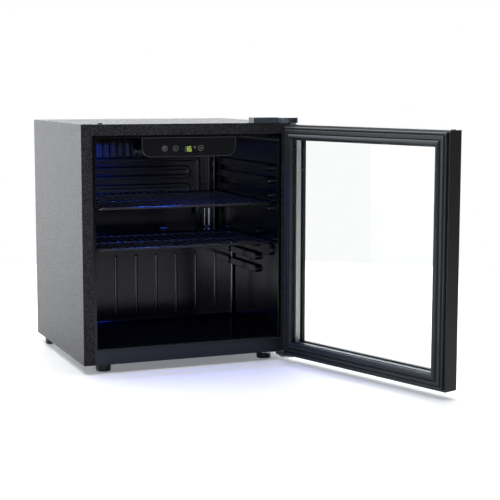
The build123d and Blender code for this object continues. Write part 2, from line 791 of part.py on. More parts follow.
with BuildPart() as top_hinge_cover:
    with BuildSketch(level_plane(top)) as outline:
        with Locations((right, front - hinge_cover_wall)):
            Rectangle(hinge_cover_length, top_plate_depth + 2 * hinge_cover_wall + hinge_cover_gap,
                      align=(Align.MAX, Align.MIN))
        with Locations((right, front)):
            Rectangle(hinge_arm_width + 2 * hinge_side_gap, front - arm_front + hinge_side_gap,
                      align=(Align.MAX, Align.MAX))
        fillet(outline.vertices().group_by(Axis.Y)[0], radius=hinge_cover_round)
    extrude(amount=hinge_cover_height)
    fillet(top_hinge_cover.edges().group_by(Axis.Z)[-1], radius=hinge_cover_edge)
    with BuildSketch(level_plane(top)) as hollow:
        with Locations((right - hinge_cover_wall, front)):
            Rectangle(hinge_cover_length - 2 * hinge_cover_wall, top_plate_depth + hinge_cover_gap,
                      align=(Align.MAX, Align.MIN))
        with Locations((right - hinge_cover_wall, front)):
            Rectangle(hinge_arm_width + 2 * hinge_side_gap - 2 * hinge_cover_wall,
                      front - arm_front + hinge_cover_gap, align=(Align.MAX, Align.MAX))
        fillet(hollow.vertices().group_by(Axis.Y)[0], radius=hinge_cover_round - hinge_cover_wall)
    extrude(amount=hinge_cover_height - hinge_cover_wall, mode=Mode.SUBTRACT)
save(top_hinge_cover, "top_hinge_cover")


def screws(places, seat, down):
    """Pan head screws standing on a level seat, their shanks going down or up from it."""
    way = -1 if down else 1
    for diameter, length in ((screw_head, -way * screw_head_height), (screw_diameter, way * screw_length)):
        with BuildSketch(level_plane(seat)) as rounds:
            with Locations(*places):
                Circle(diameter / 2)
        extrude(rounds.sketch, amount=length)


with BuildPart() as top_hinge_screws:
    screws(hinge_screws_top, top + hinge_plate, True)
save(top_hinge_screws, "top_hinge_screws")

with BuildPart() as bottom_hinge_screws:
    screws(bottom_screws, bottom - hinge_plate, False)
save(bottom_hinge_screws, "bottom_hinge_screws")

first_inset, last_inset = hinge_screw_insets
side_inset, first_depth = bottom_screw_insets[0]
last_depth = bottom_screw_insets[1][1]

with BuildPart() as hinge_backings:
    with BuildSketch(level_plane(top - sheet)):
        with Locations((right - (first_inset + last_inset) / 2, front + hinge_screw_depth)):
            Rectangle(last_inset - first_inset + 2 * backing_margin, 2 * backing_margin)
        with Locations(*hinge_screws_top):
            Circle(screw_diameter / 2 + screw_clearance, mode=Mode.SUBTRACT)
    extrude(amount=-backing_thickness)
    with BuildSketch(level_plane(bottom + sheet)):
        with Locations((right - side_inset, front + (first_depth + last_depth) / 2)):
            Rectangle(2 * backing_margin, last_depth - first_depth + 2 * backing_margin)
        with Locations(bottom_screws[-1]):
            Rectangle(2 * backing_margin, backing_margin)
        with Locations(*bottom_screws):
            Circle(screw_diameter / 2 + screw_clearance, mode=Mode.SUBTRACT)
    extrude(amount=backing_thickness)
save(hinge_backings, "hinge_backings")

plug_heads = ((flat_plug_head, flat_plug_height), (plug_head, plug_head_height))

with BuildPart() as hole_plugs:
    for (plug_x, plug_y), (head, height) in zip(plug_places, plug_heads):
        for diameter, reach in ((head, height), (plug_stem, -plug_stem_length)):
            with BuildSketch(level_plane(top)):
                with Locations((plug_x, plug_y)):
                    Circle(diameter / 2)
            extrude(amount=reach)
    for margin, reach in ((slot_plug_lip, flat_plug_height), (-slot_plug_clearance, -slot_plug_depth)):
        with BuildSketch(level_plane(top)):
            with Locations(slot_places[0]):
                SlotOverall(lug_slot_length + 2 * margin, lug_slot + 2 * margin, rotation=90)
        extrude(amount=reach)
save(hole_plugs, "hole_plugs")

# ---------------------------------------------------------------- control panel
# A housing under the cavity roof with a curved front plate, three buttons, a display and the lamp.
fascia_front = front + fascia_recess
fascia_back = fascia_front + fascia_thickness
fascia_low = cavity_top - fascia_height
board_front = fascia_back + board_gap
display_x = middle_x + display_place
display_z = cavity_top - display_drop
button_z = cavity_top - button_drop
housing_back = front + housing_depth
lamp_x = middle_x - lamp_shift
lamp_y = front + lamp_place
housing_low = fascia_low + housing_gap

with BuildPart() as control_fascia:
    with BuildSketch(front_plane(fascia_front)) as outline:
        with Locations((middle_x, cavity_top)):
            Rectangle(fascia_width, fascia_height, align=(Align.CENTER, Align.MAX))
        fillet(outline.vertices().group_by(Axis.Y)[0], radius=fascia_radius)
        with Locations(*[(middle_x + place, button_z) for place in button_places]):
            Circle(button_diameter / 2 + button_clearance, mode=Mode.SUBTRACT)
        with Locations((display_x, display_z)):
            Rectangle(display_width, display_height, mode=Mode.SUBTRACT)
    extrude(amount=-fascia_thickness)
    with BuildSketch(front_plane(fascia_front)) as rim:
        with Locations((middle_x, cavity_top)):
            Rectangle(fascia_width, fascia_height, align=(Align.CENTER, Align.MAX))
        fillet(rim.vertices().group_by(Axis.Y)[0], radius=fascia_radius)
        offset(amount=-fascia_rim, mode=Mode.SUBTRACT)
    extrude(amount=fascia_rim_proud)
save(control_fascia, "control_fascia")

housing_width = fascia_width - 2 * housing_gap
housing_height = fascia_height - housing_gap

with BuildPart() as control_housing:
    with BuildSketch(front_plane(fascia_back)) as outline:
        with Locations((middle_x, cavity_top)):
            Rectangle(housing_width, housing_height, align=(Align.CENTER, Align.MAX))
        fillet(outline.vertices().group_by(Axis.Y)[0], radius=fascia_radius - housing_gap)
    extrude(amount=fascia_back - housing_back)
    with BuildSketch(front_plane(fascia_back)) as hollow:
        with Locations((middle_x, cavity_top)):
            Rectangle(housing_width - 2 * housing_wall, housing_height - housing_wall,
                      align=(Align.CENTER, Align.MAX))
        fillet(hollow.vertices().group_by(Axis.Y)[0], radius=fascia_radius - housing_gap - housing_wall)
    extrude(amount=fascia_back + housing_wall - housing_back, mode=Mode.SUBTRACT)
    with BuildSketch(level_plane(housing_low)):
        with Locations((lamp_x, lamp_y)):
            Rectangle(lamp_length, lamp_width)
    extrude(amount=housing_wall, mode=Mode.SUBTRACT)
    with BuildSketch(front_plane(housing_back)):
        with Locations((middle_x + probe_place, button_z)):
            Circle(probe_diameter / 2)
    extrude(amount=housing_wall, mode=Mode.SUBTRACT)
save(control_housing, "control_housing")

with BuildPart() as display_window:
    with BuildSketch(front_plane(fascia_front + display_proud)):
        with Locations((display_x, display_z)):
            Rectangle(display_width, display_height)
    extrude(amount=display_proud - fascia_thickness)
    with BuildSketch(front_plane(fascia_back)):
        with Locations((display_x, display_z)):
            Rectangle(display_width + 2 * display_flange, display_height + 2 * display_flange)
    extrude(amount=-board_gap / 2)
save(display_window, "display_window")

button_names = ("power", "down", "up")
switch_top = fascia_back + button_flange_thickness + button_travel + switch_gap

for name, place in zip(button_names, button_places):
    with BuildPart() as button:
        with BuildSketch(front_plane(fascia_front - button_proud)):
            with Locations((middle_x + place, button_z)):
                Circle(button_diameter / 2)
        extrude(amount=-(button_proud + fascia_thickness))
        fillet(button.edges().group_by(Axis.Y)[0], radius=button_round)
        with BuildSketch(front_plane(fascia_back)):
            with Locations((middle_x + place, button_z)):
                Circle(button_flange / 2)
        extrude(amount=-button_flange_thickness)
        with BuildSketch(front_plane(fascia_back + button_flange_thickness)):
            with Locations((middle_x + place, button_z)):
                Circle(button_stem / 2)
        extrude(amount=-button_stem_length)
    save(button, f"{name}_button")

digit_width, digit_height = digit_block
board_low, board_high = [cavity_top - edge for edge in board_edges]

with BuildPart() as control_board:
    box_between((middle_x - board_width / 2, board_front, board_low),
                (middle_x + board_width / 2, board_front + board_thickness, board_high))
    with BuildSketch(front_plane(board_front)):
        with Locations(*[(middle_x + place, button_z) for place in button_places]):
            Rectangle(switch_width, switch_width)
    extrude(amount=board_front - switch_top)
    box_between((display_x - digit_width / 2, fascia_back + board_gap / 2, display_z - digit_height / 2),
                (display_x + digit_width / 2, board_front, display_z + digit_height / 2))
    for side in (-1, 1):
        post_x = middle_x + side * (board_width - board_post) / 2
        box_between((post_x - board_post / 2, board_front, board_high - board_thickness),
                    (post_x + board_post / 2, board_front + board_post_length, cavity_top))
save(control_board, "control_board")

with BuildPart() as lamp_lens:
    with BuildSketch(level_plane(housing_low)):
        with Locations((lamp_x, lamp_y)):
            Rectangle(lamp_length, lamp_width)
    extrude(amount=housing_wall)
    with BuildSketch(level_plane(housing_low + housing_wall)):
        with Locations((lamp_x, lamp_y)):
            Rectangle(lamp_length + 2 * lens_flange, lamp_width + 2 * lens_flange)
    extrude(amount=lens_flange_thickness)
save(lamp_lens, "lamp_lens")

with BuildPart() as lamp_strip:
    with BuildSketch(level_plane(housing_low + housing_wall + lens_flange_thickness)):
        with Locations((lamp_x, lamp_y)):
            Rectangle(lamp_length, lamp_width)
    extrude(amount=board_thickness)
save(lamp_strip, "lamp_strip")

probe_front = housing_back - housing_wall - 2 * probe_flange_thickness

with BuildPart() as temperature_probe:
    with BuildSketch(front_plane(probe_front)):
        with Locations((middle_x + probe_place, button_z)):
            Circle(probe_diameter / 2)
    extrude(amount=-probe_length)
    fillet(temperature_probe.edges().group_by(Axis.Y)[-1], radius=probe_diameter / 3)
    with BuildSketch(front_plane(probe_front + probe_flange_thickness)):
        with Locations((middle_x + probe_place, button_z)):
            Circle(probe_diameter)
    extrude(amount=-probe_flange_thickness)
save(temperature_probe, "temperature_probe")

# ---------------------------------------------------------------- shelves
shelf_half = cavity_width / 2 - shelf_side_clearance - shelf_frame_wire / 2
shelf_pitch = 2 * (shelf_half - shelf_rod_inset) / (shelf_wire_count - 1)
shelf_nose = front + shelf_front + shelf_frame_wire / 2
shelves = (("upper_shelf", upper_shelf_height, upper_shelf_depth),
           ("lower_shelf", lower_shelf_height, lower_shelf_depth))

for name, ledge, depth in shelves:
    frame_z = bottom + ledge + shelf_seat + shelf_frame_wire / 2
    wire_z = frame_z + (shelf_frame_wire + shelf_wire) / 2 - weld_bite
    tail = front + shelf_front + depth - shelf_frame_wire / 2
    with BuildPart() as shelf:
        for side in (-1, 1):
            edge_x = middle_x + side * shelf_half
            half_frame = [(middle_x, shelf_nose, frame_z), (edge_x, shelf_nose, frame_z),
                          (edge_x, tail, frame_z), (middle_x, tail, frame_z)]
            tube_along(half_frame, shelf_corner, shelf_frame_wire)
        with BuildSketch(side_plane(middle_x)) as bar:
            with Locations(((shelf_nose + tail) / 2, frame_z + shelf_bar_lift)):
                Circle(shelf_bar / 2)
        extrude(bar.sketch, amount=shelf_half, both=True)
        with BuildSketch(front_plane(shelf_nose - shelf_wire_reach)) as rods:
            with Locations((middle_x, wire_z)):
                with GridLocations(shelf_pitch, 0, shelf_wire_count, 1):
                    Circle(shelf_wire / 2)
        extrude(rods.sketch, amount=shelf_nose - tail - 2 * shelf_wire_reach)
    save(shelf, name)

# ---------------------------------------------------------------- evaporator
# Two aluminium sheets bonded and blown up into channels, standing off the cavity's back wall.
channel_left = evaporator_left + channel_left_gap
channel_right = evaporator_right - channel_right_gap
channel_high = evaporator_top - channel_top_gap
channel_rows = 1 + int((channel_high - evaporator_low - channel_low_gap) / channel_pitch)
cell_span = evaporator_right - evaporator_left - cell_left_gap - cell_right_gap
fixings = [(evaporator_left + fixing_side_inset, evaporator_top - fixing_top_inset),
           (evaporator_right - fixing_side_inset, evaporator_top - fixing_top_inset),
           (evaporator_left + fixing_side_inset, evaporator_low + fixing_low_inset),
           (evaporator_right - fixing_tab_inset, evaporator_low + fixing_low_inset)]

channel_run = [(wide_tab_x - tab_channel_shift, evaporator_low - tab_channel_low_gap)]
channel_run.append((wide_tab_x - tab_channel_shift, channel_high))
for row in range(channel_rows):
    ends = (channel_right, channel_left) if row % 2 == 0 else (channel_left, channel_right)
    level = channel_high - row * channel_pitch
    if row:
        channel_run.append((ends[0], level))
    channel_run.append((ends[1], level))

with BuildPart() as evaporator_plate:
    with BuildSketch(front_plane(evaporator_front)):
        with Locations((middle_x, (evaporator_low + evaporator_top) / 2)):
            Rectangle(evaporator_right - evaporator_left, evaporator_top - evaporator_low)
        for tab_x, width in zip((wide_tab_x, suction_x), tab_widths):
            with Locations((tab_x, evaporator_low)):
                Rectangle(width, 2 * tab_length)
        with Locations(*fixings):
            Circle(screw_diameter / 2 + screw_clearance, mode=Mode.SUBTRACT)
        for tube_x, tube in ((suction_x, suction_tube), (capillary_x, capillary_tube)):
            with Locations((tube_x, evaporator_low - tab_length)):
                Rectangle(tube + 2 * hole_clearance, 2 * (tab_length - tube_joint), mode=Mode.SUBTRACT)
    extrude(amount=-evaporator_thickness)
    with BuildSketch(front_plane(evaporator_front)):
        with BuildLine():
            FilletPolyline(*channel_run, radius=channel_pitch / 2 - bend_relief)
        trace(line_width=channel_width)
        with BuildLine():
            Line((suction_x, evaporator_low + rising_channel_low_gap),
                 (suction_x, evaporator_top - rising_channel_top_gap))
        trace(line_width=rising_channel_width)
    extrude(amount=channel_proud, taper=channel_taper)
    with BuildSketch(front_plane(evaporator_front)):
        with Locations((evaporator_left + cell_left_gap + cell_span / 2,
                        evaporator_top - cell_top_gap - cell_length / 2)):
            with GridLocations(cell_span / (cell_count - 1), 0, cell_count, 1):
                SlotOverall(cell_length, cell_width, rotation=90)
    extrude(amount=channel_proud, taper=channel_taper)
save(evaporator_plate, "evaporator_plate")

with BuildPart() as evaporator_standoffs:
    with BuildSketch(front_plane(cavity_back)):
        with Locations(*fixings):
            Circle(standoff_diameter / 2)
            Circle(screw_diameter / 2 + screw_clearance, mode=Mode.SUBTRACT)
    extrude(amount=evaporator_gap)
save(evaporator_standoffs, "evaporator_standoffs")

with BuildPart() as evaporator_screws:
    with BuildSketch(front_plane(evaporator_front)):
        with Locations(*fixings):
            Circle(screw_head / 2)
    extrude(amount=screw_head_height)
    with BuildSketch(front_plane(evaporator_front)):
        with Locations(*fixings):
            Circle(screw_diameter / 2)
    extrude(amount=-screw_length)
save(evaporator_screws, "evaporator_screws")

with BuildPart() as line_sleeve:
    with BuildSketch(level_plane(recess_top - sheet)):
        with Locations((sleeve_x, lines_y)):
            Circle(line_sleeve_diameter / 2)
    extrude(amount=step_top - recess_top + sheet)
    with BuildSketch(level_plane(step_top)):
        with Locations((sleeve_x, lines_y)):
            Circle(line_sleeve_diameter / 2 + passage_lip)
    extrude(amount=passage_lip)
    with BuildSketch(level_plane(recess_top - sheet)):
        with Locations((suction_x, lines_y)):
            Circle(suction_tube / 2 + hole_clearance)
        with Locations((capillary_x, lines_y)):
            Circle(capillary_tube / 2 + hole_clearance)
    extrude(amount=step_top - recess_top + sheet + passage_lip, mode=Mode.SUBTRACT)
save(line_sleeve, "line_sleeve")

# ---------------------------------------------------------------- compressor and its parts
plate_z = bottom + deck_thickness + grommet_height
shell_low = plate_z + compressor_plate
shell_top = shell_low + compressor_height
suction_z = shell_low + suction_height
discharge_z = shell_low + discharge_height
stub_end = compressor_x + compressor_radius + stub_length

with BuildPart() as compressor_shell:
    with BuildSketch(level_plane(shell_low)):
        with Locations((compressor_x, compressor_y)):
            Circle(compressor_radius)
    extrude(amount=compressor_height)
    fillet(compressor_shell.edges(), radius=compressor_dome)
    offset(amount=-compressor_wall, mode=Mode.SUBTRACT)
    with BuildSketch(side_plane(compressor_x + compressor_radius - compressor_wall)):
        with Locations((compressor_y, suction_z), (compressor_y, discharge_z)):
            Circle(stub_diameter / 2)
    extrude(amount=compressor_wall + stub_length)
    with BuildSketch(level_plane(plate_z)):
        with Locations((compressor_x, compressor_y)):
            RectangleRounded(compressor_plate_width, compressor_plate_depth, compressor_plate_radius)
            with GridLocations(grommet_pitch_x, grommet_pitch_y, 2, 2):
                Circle(grommet_neck / 2 + hole_clearance, mode=Mode.SUBTRACT)
    extrude(amount=compressor_plate)
save(compressor_shell, "compressor_shell")

grommet_bands = ((plate_z - grommet_height, grommet_height, grommet_diameter),
                 (plate_z, compressor_plate, grommet_neck),
                 (plate_z + compressor_plate, grommet_lip, grommet_lip_diameter))

with BuildPart() as compressor_grommets:
    for level, height, diameter in grommet_bands:
        with BuildSketch(level_plane(level)):
            with Locations((compressor_x, compressor_y)):
                with GridLocations(grommet_pitch_x, grommet_pitch_y, 2, 2):
                    Circle(diameter / 2)
                    Circle(bolt_diameter / 2 + screw_clearance, mode=Mode.SUBTRACT)
        extrude(amount=height)
save(compressor_grommets, "compressor_grommets")

bolt_top = plate_z + compressor_plate + grommet_lip
bolt_bands = ((bottom - bolt_head_height, bolt_head_height, bolt_head),
              (bottom, bolt_top - bottom, bolt_diameter),
              (bolt_top, bolt_head_height, bolt_head))

with BuildPart() as compressor_bolts:
    for level, height, diameter in bolt_bands:
        with BuildSketch(level_plane(level)):
            with Locations((compressor_x, compressor_y)):
                with GridLocations(grommet_pitch_x, grommet_pitch_y, 2, 2):
                    Circle(diameter / 2)
        extrude(amount=height)
save(compressor_bolts, "compressor_bolts")

with BuildPart() as starter_box:
    starter_low = shell_low + starter_lift
    starter_high = starter_low + starter_height
    shell_left = compressor_x - compressor_radius
    box_between((shell_left - starter_reach, compressor_y - starter_width / 2, starter_low),
                (shell_left + starter_overlap, compressor_y + starter_width / 2, starter_high))
    fillet(starter_box.edges().filter_by(Axis.Z).group_by(Axis.X)[0], radius=starter_radius)
    with BuildSketch(level_plane(shell_low)):
        with Locations((compressor_x, compressor_y)):
            Circle(compressor_radius + shell_clearance)
    extrude(amount=compressor_height, mode=Mode.SUBTRACT)
save(starter_box, "starter_box")

with BuildPart() as drip_tray:
    for inset, mode in ((0, Mode.ADD), (tray_wall, Mode.SUBTRACT)):
        with BuildSketch(level_plane(shell_top + inset)):
            with Locations((compressor_x, compressor_y - tray_shift)):
                RectangleRounded(tray_width - 2 * inset, tray_depth - 2 * inset, tray_radius - inset)
        extrude(amount=tray_height, taper=tray_taper, mode=mode)
save(drip_tray, "drip_tray")

drain_low = shell_top + tray_height - drain_dip

with BuildPart() as drain_tube:
    with BuildSketch(level_plane(drain_low)):
        with Locations((compressor_x, lines_y)):
            Circle(drain_diameter / 2)
    extrude(amount=step_top - drain_low)
    with BuildSketch(level_plane(step_top)):
        with Locations((compressor_x, lines_y)):
            Circle(drain_diameter / 2 + passage_lip)
    extrude(amount=drain_lip)
    with BuildSketch(level_plane(drain_low)):
        with Locations((compressor_x, lines_y)):
            Circle(drain_bore / 2)
    extrude(amount=step_top + drain_lip - drain_low, mode=Mode.SUBTRACT)
save(drain_tube, "drain_tube")

drier_x = left + drier_side_gap
drier_y = recess_front + drier_place_y
drier_low = bottom + drier_height

with BuildPart() as filter_drier:
    with BuildSketch(level_plane(drier_low)):
        with Locations((drier_x, drier_y)):
            Circle(drier_neck_diameter / 2)
    extrude(amount=drier_length)
    with BuildSketch(level_plane(drier_low + drier_neck)):
        with Locations((drier_x, drier_y)):
            Circle(drier_diameter / 2)
    extrude(amount=drier_length - 2 * drier_neck)
    rounds = filter_drier.edges().filter_by(GeomType.CIRCLE)
    chamfer(rounds.filter_by(lambda e: e.radius > drier_neck_diameter / 2 + 1), length=drier_chamfer)
save(filter_drier, "filter_drier")

with BuildPart() as power_inlet:
    with BuildSketch(front_plane(back - deck_thickness)):
        with Locations((gland_x, bottom + gland_height)):
            Circle(gland_diameter / 2)
            Circle(gland_bore / 2, mode=Mode.SUBTRACT)
    extrude(amount=-deck_thickness)
    for seat, depth in ((back - deck_thickness, gland_flange_in), (back, -gland_flange_out)):
        with BuildSketch(front_plane(seat)):
            with Locations((gland_x, bottom + gland_height)):
                Circle(gland_diameter / 2 + gland_flange)
                Circle(gland_bore / 2, mode=Mode.SUBTRACT)
        extrude(amount=depth)
save(power_inlet, "power_inlet")

# ---------------------------------------------------------------- condenser and refrigerant lines
coil_y = back + condenser_gap + condenser_tube / 2
coil_low = recess_top + condenser_lift
coil_left = left + condenser_inset
coil_right = right - condenser_inset
coil_join = recess_top + coil_join_lift
coil_feed_x = coil_right - coil_feed_inset
coil_return_x = coil_left - coil_return_reach
coil_top = coil_low + (condenser_rows - 1) * condenser_pitch
wire_y = coil_y + (condenser_tube + condenser_wire) / 2 - condenser_wire_bite
wire_span = coil_right - coil_left - 2 * condenser_wire_inset

coil_run = [(coil_feed_x, coil_y, coil_join), (coil_feed_x, coil_y, coil_low)]
for row in range(condenser_rows):
    ends = (coil_right, coil_left) if row % 2 == 0 else (coil_left, coil_right)
    level = coil_low + row * condenser_pitch
    if row:
        coil_run.append((ends[0], coil_y, level))
    if row < condenser_rows - 1:
        coil_run.append((ends[1], coil_y, level))
coil_run.append((coil_return_x, coil_y, coil_top))
coil_run.append((coil_return_x, coil_y, coil_join))

with BuildPart() as condenser_coil:
    tube_along(coil_run, condenser_pitch / 2 - bend_relief, condenser_tube)
    with BuildSketch(level_plane(coil_low - condenser_wire_reach)) as wires:
        with Locations((middle_x, wire_y)):
            with GridLocations(wire_span / (condenser_wire_count - 1), 0, condenser_wire_count, 1):
                Circle(condenser_wire / 2)
    extrude(wires.sketch, amount=coil_top - coil_low + 2 * condenser_wire_reach)
save(condenser_coil, "condenser_coil")

with BuildPart() as condenser_brackets:
    for bracket_x, screw_z in bracket_places:
        row_z = coil_low if screw_z < middle_z else coil_top
        low_z = min(screw_z, row_z) - bracket_margin
        high_z = max(screw_z, row_z) + bracket_margin
        box_between((bracket_x - bracket_width / 2, back, low_z),
                    (bracket_x + bracket_width / 2, back + bracket_thickness, high_z))
        box_between((bracket_x - bracket_width / 2, back, row_z - clip_height / 2),
                    (bracket_x + bracket_width / 2, coil_y + clip_cover, row_z + clip_height / 2))
        with BuildSketch(side_plane(bracket_x)) as seat:
            with Locations((coil_y, row_z)):
                Circle(condenser_tube / 2 + tube_clearance)
        extrude(seat.sketch, amount=bracket_width, both=True, mode=Mode.SUBTRACT)
    with BuildSketch(front_plane(back)) as holes:
        with Locations(*bracket_places):
            Circle(screw_diameter / 2 + screw_clearance)
    extrude(holes.sketch, amount=-bracket_thickness, mode=Mode.SUBTRACT)
save(condenser_brackets, "condenser_brackets")

with BuildPart() as bracket_screws:
    for diameter, reach in ((screw_head, -screw_head_height), (screw_diameter, bracket_screw_length)):
        with BuildSketch(front_plane(back + bracket_thickness)):
            with Locations(*bracket_places):
                Circle(diameter / 2)
        extrude(amount=reach)
save(bracket_screws, "bracket_screws")

capillary_z = recess_top - line_drop
drier_feed_z = drier_low - drier_line_drop
tube_top = evaporator_low - tube_joint

suction_line = [(suction_x, lines_y, tube_top), (suction_x, lines_y, suction_z),
                (suction_x, compressor_y, suction_z), (stub_end, compressor_y, suction_z)]
discharge_line = [(stub_end, compressor_y, discharge_z), (coil_feed_x, compressor_y, discharge_z),
                  (coil_feed_x, coil_y, discharge_z), (coil_feed_x, coil_y, coil_join)]
drier_line = [(coil_return_x, coil_y, coil_join), (coil_return_x, coil_y, drier_feed_z),
              (drier_x, drier_y, drier_feed_z), (drier_x, drier_y, drier_low)]
capillary_line = [(drier_x, drier_y, drier_low + drier_length), (drier_x, drier_y, capillary_z),
                  (capillary_x, drier_y, capillary_z), (capillary_x, lines_y, capillary_z),
                  (capillary_x, lines_y, tube_top)]

with BuildPart() as refrigerant_lines:
    tube_along(suction_line, line_bend, suction_tube)
    tube_along(discharge_line, line_bend, condenser_tube)
    tube_along(drier_line, line_bend, condenser_tube)
    tube_along(capillary_line, line_bend, capillary_tube)
save(refrigerant_lines, "refrigerant_lines")

# ---------------------------------------------------------------- door
# A moulded plastic ring holding two panes and their spacer, closed at the front by a clip-on bezel.
frame_depth = door_thickness - bezel_thickness

with BuildPart() as door_frame:
    with BuildSketch(door_plane(0)) as ring:
        door_ring(0, frame_width)
    extrude(ring.sketch, amount=-rear_lip)
    with BuildSketch(door_plane(rear_lip)) as ring:
        door_ring(0, frame_pocket)
    extrude(ring.sketch, amount=rear_lip - frame_depth)
    with BuildSketch(door_plane(0)) as ring:
        door_ring(gasket_barb_edge - barb_clearance, gasket_barb_edge + gasket_barb_width + barb_clearance)
    extrude(ring.sketch, amount=-gasket_barb_depth - barb_clearance, mode=Mode.SUBTRACT)
    for height, way in ((door_top, -1), (door_bottom, 1)):
        with BuildSketch(door_level(height)) as hole:
            with Locations((pin_inset, pin_depth)):
                Circle(bush_diameter / 2)
        extrude(hole.sketch, amount=way * bush_length, mode=Mode.SUBTRACT)
        with BuildSketch(door_level(height)) as hole:
            with Locations((door_width - pin_inset, pin_depth)):
                Circle(plug_stem / 2 + screw_clearance)
        extrude(hole.sketch, amount=way * bush_length, mode=Mode.SUBTRACT)
save(door_frame, "door_frame")

with BuildPart() as door_bezel:
    with BuildSketch(door_plane(frame_depth)) as ring:
        door_ring(0, frame_width)
    extrude(ring.sketch, amount=frame_depth - door_thickness)
    bezel_front = door_bezel.faces().sort_by(Axis((0, 0, 0), tuple(across_door)))[-1]
    fillet(bezel_front.outer_wire().edges(), radius=bezel_round)
    with BuildSketch(door_plane(bezel_level)) as ring:
        door_ring(frame_pocket + bezel_clearance, frame_width)
    extrude(ring.sketch, amount=bezel_level - frame_depth)
save(door_bezel, "door_bezel")

for name, depth in (("inner_glass", inner_pane), ("outer_glass", outer_pane)):
    with BuildPart() as pane:
        with BuildSketch(door_plane(depth)) as sheet_outline:
            with Locations((door_width / 2, door_height / 2)):
                Rectangle(door_width - 2 * glass_edge, door_height - 2 * glass_edge)
        extrude(sheet_outline.sketch, amount=-glass_thickness)
    save(pane, name)

with BuildPart() as glass_spacer:
    with BuildSketch(door_plane(spacer_level)) as ring:
        door_ring(spacer_edge, spacer_edge + spacer_width)
    extrude(ring.sketch, amount=-glass_space)
save(glass_spacer, "glass_spacer")

gasket_start = Vector(*door_corner(0, door_bottom + gasket_edge)) + along_door * (door_width / 2)
gasket_right = door_width - gasket_edge
gasket_top = door_height - gasket_edge
gasket_path = [(door_width / 2, gasket_edge), (gasket_right, gasket_edge), (gasket_right, gasket_top),
               (gasket_edge, gasket_top), (gasket_edge, gasket_edge), (door_width / 2, gasket_edge)]

# The gasket's profile, each point as its distance in from the outer edge and its height off the door.
bead_start, bead_crown, bead_end = (0, 3.0), (2.5, 5.0), (5.0, 3.4)
flat_start, flat_end = (7.0, 6.4), (12.8, 6.4)
bulb_start, bulb_crown, bulb_end = (14.2, 5.0), (20.0, gasket_height), (gasket_width, 5.0)
foot_inset = 1.0

with BuildPart() as door_gasket:
    with BuildLine(door_plane(0)) as path:
        Polyline(*gasket_path)
    with BuildSketch(Plane(origin=gasket_start, x_dir=(0, 0, 1), z_dir=along_door)) as section:
        with BuildLine():
            Line((0, 0), bead_start)
            ThreePointArc(bead_start, bead_crown, bead_end)
            Polyline(bead_end, flat_start, flat_end, bulb_start)
            ThreePointArc(bulb_start, bulb_crown, bulb_end)
            Polyline(bulb_end, (gasket_width - foot_inset, 0), (0, 0))
        make_face()
    sweep(section.sketch, path=path.line, transition=Transition.RIGHT)
    with BuildSketch(door_plane(0)) as ring:
        door_ring(gasket_barb_edge, gasket_barb_edge + gasket_barb_width)
    extrude(ring.sketch, amount=-gasket_barb_depth)
    with BuildSketch(door_plane(-magnet_height)) as ring:
        door_ring(magnet_edge, magnet_edge + magnet_width)
    extrude(ring.sketch, amount=magnet_thickness, mode=Mode.SUBTRACT)
save(door_gasket, "door_gasket")

with BuildPart() as gasket_magnets:
    with BuildSketch(door_plane(-magnet_height)) as strips:
        across = door_width - 2 * magnet_edge
        upright = door_height - 2 * magnet_edge
        with Locations((door_width / 2, door_height / 2)):
            with GridLocations(0, upright - magnet_width, 1, 2):
                Rectangle(across - 2 * magnet_end_gap, magnet_width)
            with GridLocations(across - magnet_width, 0, 2, 1):
                Rectangle(magnet_width, upright - 2 * magnet_end_gap)
    extrude(strips.sketch, amount=magnet_thickness)
save(gasket_magnets, "gasket_magnets")

with BuildPart() as hinge_bushes:
    for height, way in ((door_top, -1), (door_bottom, 1)):
        with BuildSketch(door_level(height)) as ring:
            with Locations((pin_inset, pin_depth)):
                Circle(bush_diameter / 2)
                Circle(pin_diameter / 2 + pin_clearance, mode=Mode.SUBTRACT)
        extrude(ring.sketch, amount=way * bush_length)
save(hinge_bushes, "hinge_bushes")

door_plug_head = 9.0
door_plug_proud = 1.2

with BuildPart() as door_hole_plugs:
    for height, way in ((door_top, -1), (door_bottom, 1)):
        plug_bands = ((plug_stem, way * plug_stem_length), (door_plug_head, -way * door_plug_proud))
        for diameter, reach in plug_bands:
            with BuildSketch(door_level(height)) as rounds:
                with Locations((door_width - pin_inset, pin_depth)):
                    Circle(diameter / 2)
            extrude(rounds.sketch, amount=reach)
save(door_hole_plugs, "door_hole_plugs")

# ---------------------------------------------------------------- insulation
# Foam poured between the wrapper and the liner, round everything already fixed inside the walls.
buried = (stud_inserts, hinge_backings, hole_plugs, top_hinge_plate, top_hinge_screws, bottom_hinge_screws,
          bracket_screws)

with BuildPart() as insulation_foam:
    box_between((left + sheet, lip_back, bottom + sheet), (right - sheet, back - sheet, top - sheet))
    box_between((left, front, bottom), (right, sill_back + liner_wall, cavity_floor - liner_wall / 2),
                mode=Mode.SUBTRACT)
    box_between((left, recess_front, bottom), (right, back, recess_top), mode=Mode.SUBTRACT)
    add(cavity_form(liner_wall), mode=Mode.SUBTRACT)
    for piece in buried:
        add(piece.part, mode=Mode.SUBTRACT)
    with BuildSketch(level_plane(bottom)) as studs:
        with Locations(*front_feet):
            Circle(stud_diameter / 2 + 1.0)
    extrude(studs.sketch, amount=insert_length, mode=Mode.SUBTRACT)
    with BuildSketch(level_plane(recess_top)) as passages:
        with Locations((sleeve_x, lines_y)):
            Circle(line_sleeve_diameter / 2 + hole_clearance)
        with Locations((compressor_x, lines_y)):
            Circle(drain_diameter / 2 + hole_clearance)
    extrude(passages.sketch, amount=step_foam, mode=Mode.SUBTRACT)
save(insulation_foam, "insulation_foam")
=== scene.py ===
from math import cos, pi, radians, sin, tau

import bmesh
import bpy
from mathutils import Matrix, Vector


